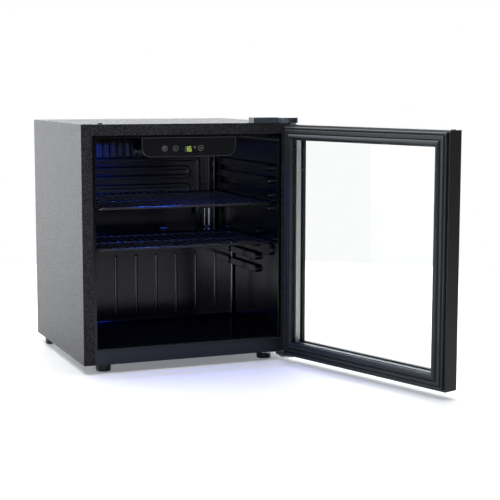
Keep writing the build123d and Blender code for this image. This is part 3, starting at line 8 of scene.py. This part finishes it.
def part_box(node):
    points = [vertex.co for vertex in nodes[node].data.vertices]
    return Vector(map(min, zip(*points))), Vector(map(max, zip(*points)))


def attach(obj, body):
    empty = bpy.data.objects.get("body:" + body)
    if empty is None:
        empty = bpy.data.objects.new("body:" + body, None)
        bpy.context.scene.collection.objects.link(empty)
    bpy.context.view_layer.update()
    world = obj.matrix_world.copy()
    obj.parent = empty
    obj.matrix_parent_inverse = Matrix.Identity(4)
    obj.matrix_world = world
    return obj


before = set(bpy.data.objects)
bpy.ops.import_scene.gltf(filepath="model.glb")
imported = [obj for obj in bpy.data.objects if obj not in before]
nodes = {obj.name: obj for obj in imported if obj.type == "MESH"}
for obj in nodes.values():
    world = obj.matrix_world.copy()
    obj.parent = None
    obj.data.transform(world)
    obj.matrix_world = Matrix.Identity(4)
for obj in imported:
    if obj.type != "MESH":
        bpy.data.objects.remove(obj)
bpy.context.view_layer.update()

# ---------------------------------------------------------------- cabinet wrapper
# One sheet of thin steel, coated black and embossed with a leather grain, folded into the top and both sides.
# Its front edge is folded in and mitred.  Pale flecks show in the coating.
MM = 0.001
coating_black = (0.03, 0.03, 0.032)
coating_ground = (0.0006, 0.0006, 0.0008)
coating_fleck = (0.036, 0.036, 0.04)
fleck_stops = ((0.45, coating_ground), (0.62, coating_fleck))


class Shade:
    """A socket in the node tree of a finish.  Sums, products and comparisons add their Math nodes."""

    def __init__(self, tree, socket=None):
        self.tree = tree
        self.socket = socket

    def feed(self, slot, value):
        """Links a socket to a shade, or sets it to a constant."""
        if isinstance(value, Shade):
            self.tree.links.new(value.socket, slot)
        elif slot.type == "RGBA":
            slot.default_value = (*value, 1.0)
        else:
            slot.default_value = value

    def node(self, kind, settings=None, out=0, **values):
        """Adds a node, sets it up, feeds its sockets by name, or by i and number, and gives one output."""
        made = self.tree.nodes.new("ShaderNode" + kind)
        for name, setting in (settings or {}).items():
            if name == "stops":
                for element, (position, colour) in zip(made.color_ramp.elements, setting):
                    element.position = position
                    element.color = (*colour, 1.0)
            else:
                setattr(made, name, setting)
        for name, value in values.items():
            label = name.replace("_", " ")
            slot = made.inputs[label] if label in made.inputs else made.inputs[int(name.strip("i"))]
            self.feed(slot, value)
        return Shade(self.tree, made.outputs[out])

    def set_surface(self, label, value):
        """Feeds a socket of the finish's surface."""
        self.feed(self.tree.nodes["Principled BSDF"].inputs[label], value)

    def math(self, operation, first, second):
        return self.node("Math", {"operation": operation}, i0=first, i1=second)

    def __add__(self, other):
        return self.math("ADD", self, other)

    def __radd__(self, other):
        return self.math("ADD", other, self)

    def __sub__(self, other):
        return self.math("SUBTRACT", self, other)

    def __rsub__(self, other):
        return self.math("SUBTRACT", other, self)

    def __mul__(self, other):
        return self.math("MULTIPLY", self, other)

    def __rmul__(self, other):
        return self.math("MULTIPLY", other, self)

    def __gt__(self, other):
        return self.math("GREATER_THAN", self, other)

    def __lt__(self, other):
        return self.math("LESS_THAN", self, other)


def finish(name, colour, roughness, metallic=0.0, **others):
    """A new finish with its constants set: the material, and a shade that adds nodes to it."""
    material = bpy.data.materials.new(name)
    material.use_nodes = True
    start = Shade(material.node_tree)
    start.set_surface("Base Color", colour)
    start.set_surface("Roughness", roughness)
    start.set_surface("Metallic", metallic)
    for label, value in others.items():
        start.set_surface(label.replace("_", " "), value)
    return material, start


def place(start, axis=None):
    """Where a point is on its piece, in metres, or how far it is along one axis."""
    spot = start.node("TexCoord", out="Object")
    if axis is None:
        return spot
    return start.node("SeparateXYZ", out=axis, Vector=spot)


def mottling(start, scale, detail=2.0, roughness=0.5):
    """Soft uneven patches, smaller as the scale grows."""
    return start.node("TexNoise", Vector=place(start), Scale=scale, Detail=detail, Roughness=roughness)


def emboss(start, pattern, depth, rounding=None):
    """Raises a pattern on a surface, and softens its edges if a rounding is given."""
    relief = {"Height": pattern, "Distance": depth}
    if rounding:
        relief["Normal"] = start.node("Bevel", {"samples": 6}, Radius=rounding)
    start.set_surface("Normal", start.node("Bump", **relief))


def uneven_gloss(start, pattern, low, high):
    """Lets the roughness wander between two limits."""
    start.set_surface("Roughness", start.node("MapRange", Value=pattern, To_Min=low, To_Max=high))


def dress(material, *names):
    """Puts a finish on pieces of the frame."""
    for name in names:
        slots = nodes[name].data.materials
        slots.clear()
        slots.append(material)


coated, start = finish("coated_steel", coating_black, roughness=0.5, Specular_IOR_Level=0.25)
pebbles = start.node("TexVoronoi", {"feature": "SMOOTH_F1"}, Vector=place(start), Scale=380.0)
creases = mottling(start, scale=620.0, detail=4.0, roughness=0.6)
emboss(start, pebbles + creases * 1.2, depth=1.2 * MM)
flecks = start.node("ValToRGB", {"stops": fleck_stops}, Fac=mottling(start, scale=420.0))
start.set_surface("Base Color", flecks)
uneven_gloss(start, mottling(start, scale=260.0, detail=3.0), low=0.4, high=0.6)
dress(coated, "outer_wrapper")

# ---------------------------------------------------------------- back panel, base pan and compressor recess
# Bare galvanised sheet, cut, punched and folded, that closes the cabinet's back and bottom round the
# compressor.  The zinc has crystallised in small spangles that shine unevenly.
zinc_grey = (0.3, 0.305, 0.312)

galvanised, start = finish("galvanised_sheet", zinc_grey, roughness=0.46, metallic=0.8)
spangles = start.node("TexVoronoi", Vector=place(start), Scale=120.0)
uneven_gloss(start, spangles, low=0.38, high=0.54)
dress(galvanised, "back_panel", "base_pan", "recess_lining", "compressor_deck")

# ---------------------------------------------------------------- liner and what is moulded with it
# The liner is one black plastic sheet, drawn over a mould while hot, which leaves it glossy with rounded
# edges.  The control housing and the evaporator's standoffs, fixed to it, are moulded in the same plastic.
liner_black = (0.003, 0.0034, 0.0045)
liner_rounding = 1.2 * MM

liner, start = finish("liner_plastic", liner_black, roughness=0.16, Specular_IOR_Level=0.36)
emboss(start, mottling(start, scale=900.0, detail=3.0), depth=0.03 * MM, rounding=liner_rounding)
uneven_gloss(start, mottling(start, scale=30.0), low=0.12, high=0.18)
dress(liner, "inner_liner", "control_housing", "evaporator_standoffs")

# ---------------------------------------------------------------- insulation
# Pale yellow polyurethane foam, poured in between the wrapper and the liner, where it swells, sets and holds
# the two together.  It stays out of sight.
foam_yellow = (0.8, 0.72, 0.45)

foam, start = finish("insulation", foam_yellow, roughness=0.9)
emboss(start, mottling(start, scale=500.0, detail=4.0), depth=0.8 * MM)
dress(foam, "insulation_foam")

# ---------------------------------------------------------------- front sill
# A moulded strip of blue-black plastic across the bottom front of the cabinet, under the door opening.  Its
# mould left it a fine satin texture.
sill_black = (0.014, 0.02, 0.027)

sill, start = finish("sill_plastic", sill_black, roughness=0.4, Specular_IOR_Level=0.35)
emboss(start, mottling(start, scale=700.0, detail=3.0), depth=0.08 * MM)
dress(sill, "front_sill")

# ---------------------------------------------------------------- evaporator
# Two aluminium sheets, rolled together and blown up into channels, then lacquered black.  The plate is a
# little wavy, and it is screwed to standoffs on the liner's back wall.
lacquer_black = (0.004, 0.0045, 0.006)
channel_rounding = 3.5 * MM

lacquered, start = finish("black_lacquer", lacquer_black, roughness=0.18)
uneven_gloss(start, mottling(start, scale=50.0, detail=3.0), low=0.16, high=0.26)
emboss(start, mottling(start, scale=25.0), depth=0.3 * MM, rounding=channel_rounding)
dress(lacquered, "evaporator_plate", "evaporator_screws")

# ---------------------------------------------------------------- compressor, condenser and drier
# The compressor's steel shell, bolted to its deck through rubber mounts, and the wire-on-tube condenser
# behind the back panel are enamelled black.  The filter drier is a short copper can in the line.
enamel_black = (0.012, 0.012, 0.013)
copper_red = (0.72, 0.36, 0.22)

enamel, start = finish("black_enamel", enamel_black, roughness=0.28)
emboss(start, mottling(start, scale=200.0), depth=0.1 * MM)
dress(enamel, "compressor_shell", "condenser_coil")

copper, start = finish("copper_tube", copper_red, roughness=0.3, metallic=1.0)
uneven_gloss(start, mottling(start, scale=60.0, detail=3.0), low=0.22, high=0.42)
dress(copper, "filter_drier")

# ---------------------------------------------------------------- hinges, fasteners and lines
# Hinge plates, pins, screws, bolts, backing plates and threaded inserts are zinc-plated steel with a dull
# silvery shine.  The lines of the cooling circuit are bent from tube and look the same.
plating_silver = (0.62, 0.63, 0.65)

plated, start = finish("zinc_steel", plating_silver, roughness=0.3, metallic=1.0)
uneven_gloss(start, mottling(start, scale=80.0, detail=3.0), low=0.24, high=0.4)
dress(plated, "refrigerant_lines", "top_hinge_plate", "bottom_hinge_plate", "top_hinge_pin",
      "bottom_hinge_pin", "top_hinge_screws", "bottom_hinge_screws", "hinge_backings", "stud_inserts",
      "compressor_bolts", "bracket_screws")

# ---------------------------------------------------------------- hinge cover, plugs and bushes
# Small mouldings: a slate-blue cap over the top hinge, grey plugs in the holes kept for a door hung on the
# other side, and grey bushes in the door that the hinge pins turn in.
cover_slate = (0.068, 0.09, 0.112)
plug_grey = (0.16, 0.17, 0.18)
bush_grey = (0.3, 0.3, 0.3)

cover, start = finish("cover_plastic", cover_slate, roughness=0.42)
emboss(start, mottling(start, scale=500.0, detail=3.0), depth=0.1 * MM)
dress(cover, "top_hinge_cover")

plug, _ = finish("plug_plastic", plug_grey, roughness=0.45)
dress(plug, "hole_plugs", "door_hole_plugs")

bush, _ = finish("bush_plastic", bush_grey, roughness=0.4)
dress(bush, "hinge_bushes")

# ---------------------------------------------------------------- feet, mounts and line sleeve
# Black rubber mouldings.  The front feet turn on threads to level the cabinet, and the rear ones are fixed.
# The compressor stands on four mounts, and a sleeve fills the hole that the evaporator's lines pass through.
rubber_black = (0.012, 0.012, 0.013)

rubber, _ = finish("foot_rubber", rubber_black, roughness=0.5)
dress(rubber, "rear_feet", "front_left_foot", "front_right_foot", "line_sleeve", "compressor_grommets")

# ---------------------------------------------------------------- shelves
# Steel rods welded across a bent wire frame and dipped in black plastic.  Each shelf rests on ledges in the
# liner's walls and slides out forward.
dip_black = (0.01, 0.01, 0.012)

dipped, start = finish("black_wire", dip_black, roughness=0.3)
emboss(start, mottling(start, scale=400.0), depth=0.1 * MM)
dress(dipped, "upper_shelf", "lower_shelf")

# ---------------------------------------------------------------- control plate and buttons
# A glossy black plate with rounded lower corners and a thin raised rim, on the front of the housing under the
# cavity's roof.  Three round push buttons, moulded in the same plastic, stand in it.  The rim's front is
# painted a lighter grey, as a painted highlight along its edge.
plate_black = (0.012, 0.0125, 0.014)
rim_painted_highlight = (0.05, 0.054, 0.06)
rim_depth = 0.2 * MM
plate_rounding = 0.6 * MM
plate_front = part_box("control_fascia")[0].y

glossy, start = finish("control_plastic", plate_black, roughness=0.16)
# painted highlight: the front of the rim is coloured lighter grey than the plate
rim_highlight_mask = place(start, "Y") < plate_front + rim_depth
plate_and_painted_highlight = start.node("Mix", {"data_type": "RGBA"}, out=2, i0=rim_highlight_mask, i6=plate_black, i7=rim_painted_highlight)
start.set_surface("Base Color", plate_and_painted_highlight)
emboss(start, mottling(start, scale=300.0), depth=0.01 * MM, rounding=plate_rounding)
uneven_gloss(start, mottling(start, scale=60.0), low=0.12, high=0.2)
dress(glossy, "control_fascia")

caps, start = finish("button_plastic", plate_black, roughness=0.16)
uneven_gloss(start, mottling(start, scale=60.0), low=0.12, high=0.2)
dress(caps, "power_button", "down_button", "up_button")

# ---------------------------------------------------------------- lamp, circuit board and white mouldings
# A strip of blue lamps shines down through a clear lens under the housing, and a board of green laminate
# drives it.  The strip's holder, the probe, the drain tube and the drip tray are white plastic.
lens_tint = (0.3, 0.4, 0.9)
lens_glow = (0.02, 0.1, 1.0)
board_green = (0.02, 0.12, 0.05)
plain_white = (0.62, 0.62, 0.6)

lens, _ = finish("lamp_lens", lens_tint, roughness=0.3, Emission_Color=lens_glow, Emission_Strength=6.0)
dress(lens, "lamp_lens")

board, _ = finish("circuit_board", board_green, roughness=0.45)
dress(board, "control_board")

white, start = finish("white_plastic", plain_white, roughness=0.45)
emboss(start, mottling(start, scale=600.0), depth=0.06 * MM)
dress(white, "lamp_strip", "temperature_probe", "drain_tube", "drip_tray")

# ---------------------------------------------------------------- display
# A smoked window in the plate, over a lamp module with two figures of seven strokes.  The lit strokes glow
# yellow-green and the others stay faintly visible.  Here they lie on the window's face, left of its middle.
window_smoke = (0.012, 0.014, 0.008)
lit_yellow = (0.2, 0.25, 0.02)
lit_glow = (0.62, 0.85, 0.12)
unlit_grey = (0.3, 0.31, 0.36)
digit_height = 9.6 * MM
digit_width = 5.4 * MM
digit_pitch = 8.0 * MM
digit_shift = -1.2 * MM
stroke = 0.6 * MM
stroke_gap = 0.15 * MM
stroke_proud = 0.06 * MM
stroke_sunk = 0.02 * MM
strokes_lit = {"1": "bc", "6": "acdefg"}
display_low, display_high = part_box("display_window")
display_middle = (display_low + display_high) / 2


def bar(form, low, high):
    """A small box between two corners."""
    low, high = Vector(low), Vector(high)
    matrix = Matrix.Translation((low + high) / 2) @ Matrix.Diagonal((*(high - low), 1.0))
    bmesh.ops.create_cube(form, size=1.0, matrix=matrix)


def digit_strokes(left, low):
    """The left, lower, right and upper limits of a digit's seven strokes, from its lower left corner."""
    right = left + digit_width
    high = low + digit_height
    middle = low + digit_height / 2
    inner_left = left + stroke
    inner_right = right - stroke
    return {
        "a": (inner_left, high - stroke, inner_right, high),
        "b": (inner_right, middle + stroke_gap, right, high - stroke_gap),
        "c": (inner_right, low + stroke_gap, right, middle - stroke_gap),
        "d": (inner_left, low, inner_right, low + stroke),
        "e": (left, low + stroke_gap, inner_left, middle - stroke_gap),
        "f": (left, middle + stroke_gap, inner_left, high - stroke_gap),
        "g": (inner_left, middle - stroke / 2, inner_right, middle + stroke / 2),
    }


def piece(name, form, material, body):
    """Makes a piece from its form and lets it ride on a body."""
    mesh = bpy.data.meshes.new(name)
    bmesh.ops.recalc_face_normals(form, faces=form.faces)
    form.to_mesh(mesh)
    form.free()
    mesh.materials.append(material)
    made = bpy.data.objects.new(name, mesh)
    bpy.context.scene.collection.objects.link(made)
    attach(made, body)


smoked, _ = finish("display_glass", window_smoke, roughness=0.1)
dress(smoked, "display_window")

lit, _ = finish("display_lit", lit_yellow, roughness=0.4, Emission_Color=lit_glow, Emission_Strength=1.7)
unlit, _ = finish("display_unlit", unlit_grey, roughness=0.4)

shown = bmesh.new()
faint = bmesh.new()
for digit, side in (("1", -0.5), ("6", 0.5)):
    digit_left = display_middle.x + digit_shift + side * digit_pitch - digit_width / 2
    digit_low = display_middle.z - digit_height / 2
    for name, (x0, z0, x1, z1) in digit_strokes(digit_left, digit_low).items():
        form = shown if name in strokes_lit[digit] else faint
        bar(form, (x0, display_low.y - stroke_proud, z0), (x1, display_low.y + stroke_sunk, z1))
piece("display_digits", shown, lit, "cabinet")
piece("display_ghost_strokes", faint, unlit, "cabinet")

# ---------------------------------------------------------------- painted signs
# Pale grey paint, printed on the plate and the buttons: a degree sign and a letter right of the display, and
# on each button a ring round a power sign or round an arrow that points down or up.
paint_grey = (0.36, 0.37, 0.38)
paint_thickness = 0.1 * MM
paint_proud = 0.05 * MM
ring_steps = 40
sign_sunk = 0.35 * MM        # from the front of the plate's rim back to the paint
letter_right = 14.2 * MM
letter_lift = 2.9 * MM
letter_opening = tau / 4
degree_right = 11.2 * MM
degree_lift = 4.1 * MM
power_bar_half = 0.4 * MM
power_bar_low = 0.4 * MM
power_bar_high = 3.5 * MM
power_bar_proud = 0.01 * MM
arrow_half = 1.4 * MM
arrow_tip = 1.5 * MM
arrow_base = -0.6            # share of the tip's height


def ring(form, centre, outer, inner, opening=0.0):
    """A flat painted ring facing the front, spun from its section, with an opening to the right if asked."""
    outward = Vector((cos(opening / 2), 0.0, sin(opening / 2)))
    deep = Vector((0.0, paint_thickness, 0.0))
    corners = (outward * inner, outward * outer, outward * outer + deep, outward * inner + deep)
    verts = [form.verts.new(centre + corner) for corner in corners]
    edges = [form.edges.new((verts[i - 1], verts[i])) for i in range(len(verts))]
    cap = [form.faces.new(verts)] if opening else []
    steps = round(ring_steps * (tau - opening) / tau)
    bmesh.ops.spin(form, geom=verts + edges + cap, cent=centre, axis=(0.0, -1.0, 0.0), dvec=(0.0, 0.0, 0.0),
                   angle=tau - opening, steps=steps, use_merge=not opening)


def arrow(form, centre, tip):
    """A small triangle that points up, or down if its tip is below its centre."""
    corners = ((-arrow_half, arrow_base * tip), (arrow_half, arrow_base * tip), (0.0, tip))
    verts = [form.verts.new(centre + Vector((x, 0.0, z))) for x, z in corners]
    grown = bmesh.ops.extrude_face_region(form, geom=[form.faces.new(verts)])["geom"]
    rear = [part for part in grown if isinstance(part, bmesh.types.BMVert)]
    bmesh.ops.translate(form, verts=rear, vec=(0.0, paint_thickness, 0.0))


paint, _ = finish("legend_paint", paint_grey, roughness=0.5)

unit = bmesh.new()
sign_start = Vector((display_middle.x, plate_front + sign_sunk, display_middle.z))
ring(unit, sign_start + Vector((degree_right, 0.0, degree_lift)), outer=1.0 * MM, inner=0.4 * MM)
ring(unit, sign_start + Vector((letter_right, 0.0, letter_lift)), outer=2.0 * MM, inner=1.2 * MM,
     opening=letter_opening)
piece("unit_sign", unit, paint, "cabinet")

for name in ("power_button", "down_button", "up_button"):
    low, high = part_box(name)
    centre = Vector(((low.x + high.x) / 2, low.y - paint_proud, (low.z + high.z) / 2))
    marks = bmesh.new()
    ring(marks, centre, outer=5.4 * MM, inner=4.8 * MM)
    if name == "power_button":
        ring(marks, centre, outer=2.6 * MM, inner=2.1 * MM)
        bar(marks, centre + Vector((-power_bar_half, -power_bar_proud, power_bar_low)),
            centre + Vector((power_bar_half, paint_thickness, power_bar_high)))
    else:
        arrow(marks, centre, arrow_tip if name == "up_button" else -arrow_tip)
    piece(name + "_marks", marks, paint, name)

# ---------------------------------------------------------------- door frame
# A moulded black ring that holds the glass, closed outside by a flat bezel that clips on.  The starter box,
# the power inlet and the condenser's brackets at the back are moulded in the same satin plastic.
frame_black = (0.01, 0.0103, 0.0112)

moulded, start = finish("door_plastic", frame_black, roughness=0.42, Specular_IOR_Level=0.35)
emboss(start, mottling(start, scale=600.0, detail=3.0), depth=0.08 * MM)
dress(moulded, "door_frame", "door_bezel", "starter_box", "power_inlet", "condenser_brackets")

# ---------------------------------------------------------------- gasket
# A soft extruded rubber profile, mitred and welded at the corners and fixed round the door frame.  It carries
# brown magnetic strips that pull the door shut against the steel.
gasket_slate = (0.012, 0.017, 0.021)
magnet_brown = (0.03, 0.025, 0.022)

seal, start = finish("gasket_rubber", gasket_slate, roughness=0.48, Specular_IOR_Level=0.28)
emboss(start, mottling(start, scale=500.0), depth=0.1 * MM)
dress(seal, "door_gasket")

magnet, _ = finish("magnet_strip", magnet_brown, roughness=0.6)
dress(magnet, "gasket_magnets")

# ---------------------------------------------------------------- glazing
# Two clear panes, sealed to a spacer of anodised aluminium with fine ribs across it.  The panes mirror only a
# little, on the faces towards the eye.  Where the spacer faces up it is painted dark slate: painted shade,
# for the run that lies in the shade of the bezel.
pane_tint = (0.95, 0.98, 0.97)
pane_clear = (0.992, 0.997, 0.995)
pane_mirror = (1.0, 1.0, 1.0)
pane_index = 1.45
pane_shine = 0.25
anodised_silver = (0.72, 0.74, 0.74)
spacer_painted_shade = (0.03, 0.045, 0.065)

glass, start = finish("clear_glass", pane_tint, roughness=0.02)
clear = start.node("BsdfTransparent", Color=pane_clear)
shine = start.node("BsdfGlossy", Color=pane_mirror, Roughness=0.02)
near_face = 1.0 - start.node("NewGeometry", out="Backfacing")
mirror_share = start.node("Fresnel", IOR=pane_index) * near_face * pane_shine
pane = start.node("MixShader", i0=mirror_share, i1=clear, i2=shine)
start.feed(glass.node_tree.nodes["Material Output"].inputs["Surface"], pane)
dress(glass, "outer_glass", "inner_glass")

spacer, start = finish("anodised_spacer", anodised_silver, roughness=0.42, metallic=0.7)
facing = start.node("NewGeometry", out="Normal")
# painted shade: the run of the spacer that faces up is coloured dark slate
upward_run_in_painted_shade = start.node("SeparateXYZ", out="Z", Vector=facing) > 0.5
spacer_with_painted_shade = start.node("Mix", {"data_type": "RGBA"}, out=2, i0=upward_run_in_painted_shade, i6=anodised_silver, i7=spacer_painted_shade)
start.set_surface("Base Color", spacer_with_painted_shade)
ribs = start.node("TexWave", {"bands_direction": "Z"}, Vector=place(start), Scale=90.0)
emboss(start, ribs, depth=0.2 * MM)
dress(spacer, "glass_spacer")

# ---------------------------------------------------------------- floor
# A round sheet of pale paper that the cabinet stands on.  It is a little brighter where it is looked at, and
# glossy pieces mirror a bright strip at its front left and a bright stretch at its rear.
paper_white = (0.95, 0.95, 0.95)
paper_glow = (0.9, 0.93, 1.0)
floor_radius = 1.7
floor_place = (0.2, -0.1, -0.0002)
looked_at_glow = 0.2
strip_across = (-0.5, -0.42, -0.26, -0.18)
strip_along = (-1.5, -1.3, -0.35, -0.25)
strip_glow = 16.0
rear_start = 0.1
rear_end = 1.0
rear_glow = 1.1


def band(start, value, low_end, low, high, high_end):
    """One between two limits, falling to nothing at two ends outside them."""
    rise = start.node("MapRange", Value=value, From_Min=low_end, From_Max=low)
    fall = start.node("MapRange", Value=value, From_Min=high, From_Max=high_end, To_Min=1.0, To_Max=0.0)
    return rise * fall


paper, start = finish("floor_paint", paper_white, roughness=0.55, Emission_Strength=1.0)
looked_at = start.node("LightPath", out="Is Camera Ray")
mirrored = start.node("LightPath", out="Is Glossy Ray")
across = place(start, "X")
along = place(start, "Y")
strip = band(start, across, *strip_across) * band(start, along, *strip_along)
rear = start.node("MapRange", Value=along, From_Min=rear_start, From_Max=rear_end, To_Min=0.0,
                  To_Max=rear_glow)
glow = looked_at * looked_at_glow + mirrored * (strip * strip_glow + rear)
tinted = start.node("VectorMath", {"operation": "SCALE"}, i0=paper_glow, Scale=glow)
start.set_surface("Emission Color", tinted)

form = bmesh.new()
bmesh.ops.create_circle(form, cap_ends=True, segments=64, radius=floor_radius)
floor_mesh = bpy.data.meshes.new("floor")
form.to_mesh(floor_mesh)
form.free()
floor_mesh.materials.append(paper)
floor = bpy.data.objects.new("floor", floor_mesh)
floor.location = floor_place
bpy.context.scene.collection.objects.link(floor)

# ---------------------------------------------------------------- lamps
# A wide soft lamp above, another low at the back left that brings up the sheen of the side, and the blue
# strip under the control housing.  Each faces a point, and its width and height are in metres.
strip_blue = (0.006, 0.08, 1.0)
strip_below = 1.0 * MM       # from the lens down to the lamp
strip_aim = 50.0 * MM        # from straight below the lamp back to the point that it faces
lens_low, lens_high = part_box("lamp_lens")
lens_middle = (lens_low + lens_high) / 2


def softbox(name, centre, target, width, height, power, colour=(1.0, 1.0, 1.0)):
    """A rectangular lamp at a place, turned to a target."""
    data = bpy.data.lights.new(name, "AREA")
    data.shape = "RECTANGLE"
    data.size = width
    data.size_y = height
    data.energy = power
    data.color = colour
    lamp = bpy.data.objects.new(name, data)
    lamp.location = centre
    lamp.rotation_euler = (Vector(target) - Vector(centre)).to_track_quat("-Z", "Y").to_euler()
    bpy.context.scene.collection.objects.link(lamp)


softbox("left_softbox", (-1.8, 1.7, 0.6), (0.0, 0.2, 0.1), width=2.4, height=1.1, power=24.0)
softbox("top_softbox", (0.2, 0.5, 2.6), (0.2, 0.1, 0.0), width=3.4, height=3.0, power=115.0)
softbox("cabinet_lamp", (lens_middle.x, lens_middle.y, lens_low.z - strip_below),
        (lens_middle.x, lens_middle.y + strip_aim, 0.0), width=0.09, height=0.009, power=0.9,
        colour=strip_blue)

# ---------------------------------------------------------------- studio walls
# Pure white to the eye.  Glossy pieces mirror a bright wall behind the cabinet, and in front of it a dark one
# with a window at the left.  Matt pieces get only a little light from the walls.
backdrop_white = (1.0, 1.0, 1.0)
wall_tint = (0.95, 0.97, 1.0)
wall_light = 0.08
front_wall = 0.06
rear_wall = 3.5
turn_start = -0.25
turn_end = 0.5
window_light = 2.5
window_across = (-0.45, -0.35, -0.1, 0.0)
window_upright = (-0.2, -0.15, 0.15, 0.2)

world = bpy.data.worlds.new("studio")
world.use_nodes = True
world.node_tree.nodes.clear()
bpy.context.scene.world = world
start = Shade(world.node_tree)
looked_at = start.node("LightPath", out="Is Camera Ray")
mirrored = start.node("LightPath", out="Is Glossy Ray")
ray = start.node("TexCoord", out="Generated")
sideways = start.node("SeparateXYZ", out="X", Vector=ray)
backward = start.node("SeparateXYZ", out="Y", Vector=ray)
upward = start.node("SeparateXYZ", out="Z", Vector=ray)
walls = start.node("MapRange", Value=backward, From_Min=turn_start, From_Max=turn_end, To_Min=front_wall,
                   To_Max=rear_wall)
opening = band(start, sideways, *window_across) * band(start, upward, *window_upright)
window = opening * (backward < 0.0)
strength = mirrored * (walls + window * window_light) + (1.0 - mirrored) * wall_light
room = start.node("Background", Color=wall_tint, Strength=strength)
backdrop = start.node("Background", Color=backdrop_white, Strength=1.0)
studio = start.node("MixShader", i0=looked_at, i1=room, i2=backdrop)
output = world.node_tree.nodes.new("ShaderNodeOutputWorld")
start.feed(output.inputs["Surface"], studio)

# ---------------------------------------------------------------- camera
# It stands in front and to the left, a little above the roof's height, and looks slightly down.  Its long
# lens keeps the cabinet's edges nearly parallel.  The angles are in degrees.
camera_place = (-0.7093, -2.5045, 0.5672)
camera_lens = 94.476
camera_heading = 22.304
camera_tilt = -7.123
camera_roll = 0.0995

camera_data = bpy.data.cameras.new("camera")
camera_data.lens = camera_lens
camera = bpy.data.objects.new("camera", camera_data)
camera.location = camera_place
heading = Matrix.Rotation(-radians(camera_heading), 4, "Z")
tilt = Matrix.Rotation(pi / 2 + radians(camera_tilt), 4, "X")
roll = Matrix.Rotation(radians(camera_roll), 4, "Z")
camera.rotation_euler = (heading @ tilt @ roll).to_euler()
bpy.context.scene.collection.objects.link(camera)
bpy.context.scene.camera = camera
bpy.context.scene.view_settings.view_transform = "Standard"
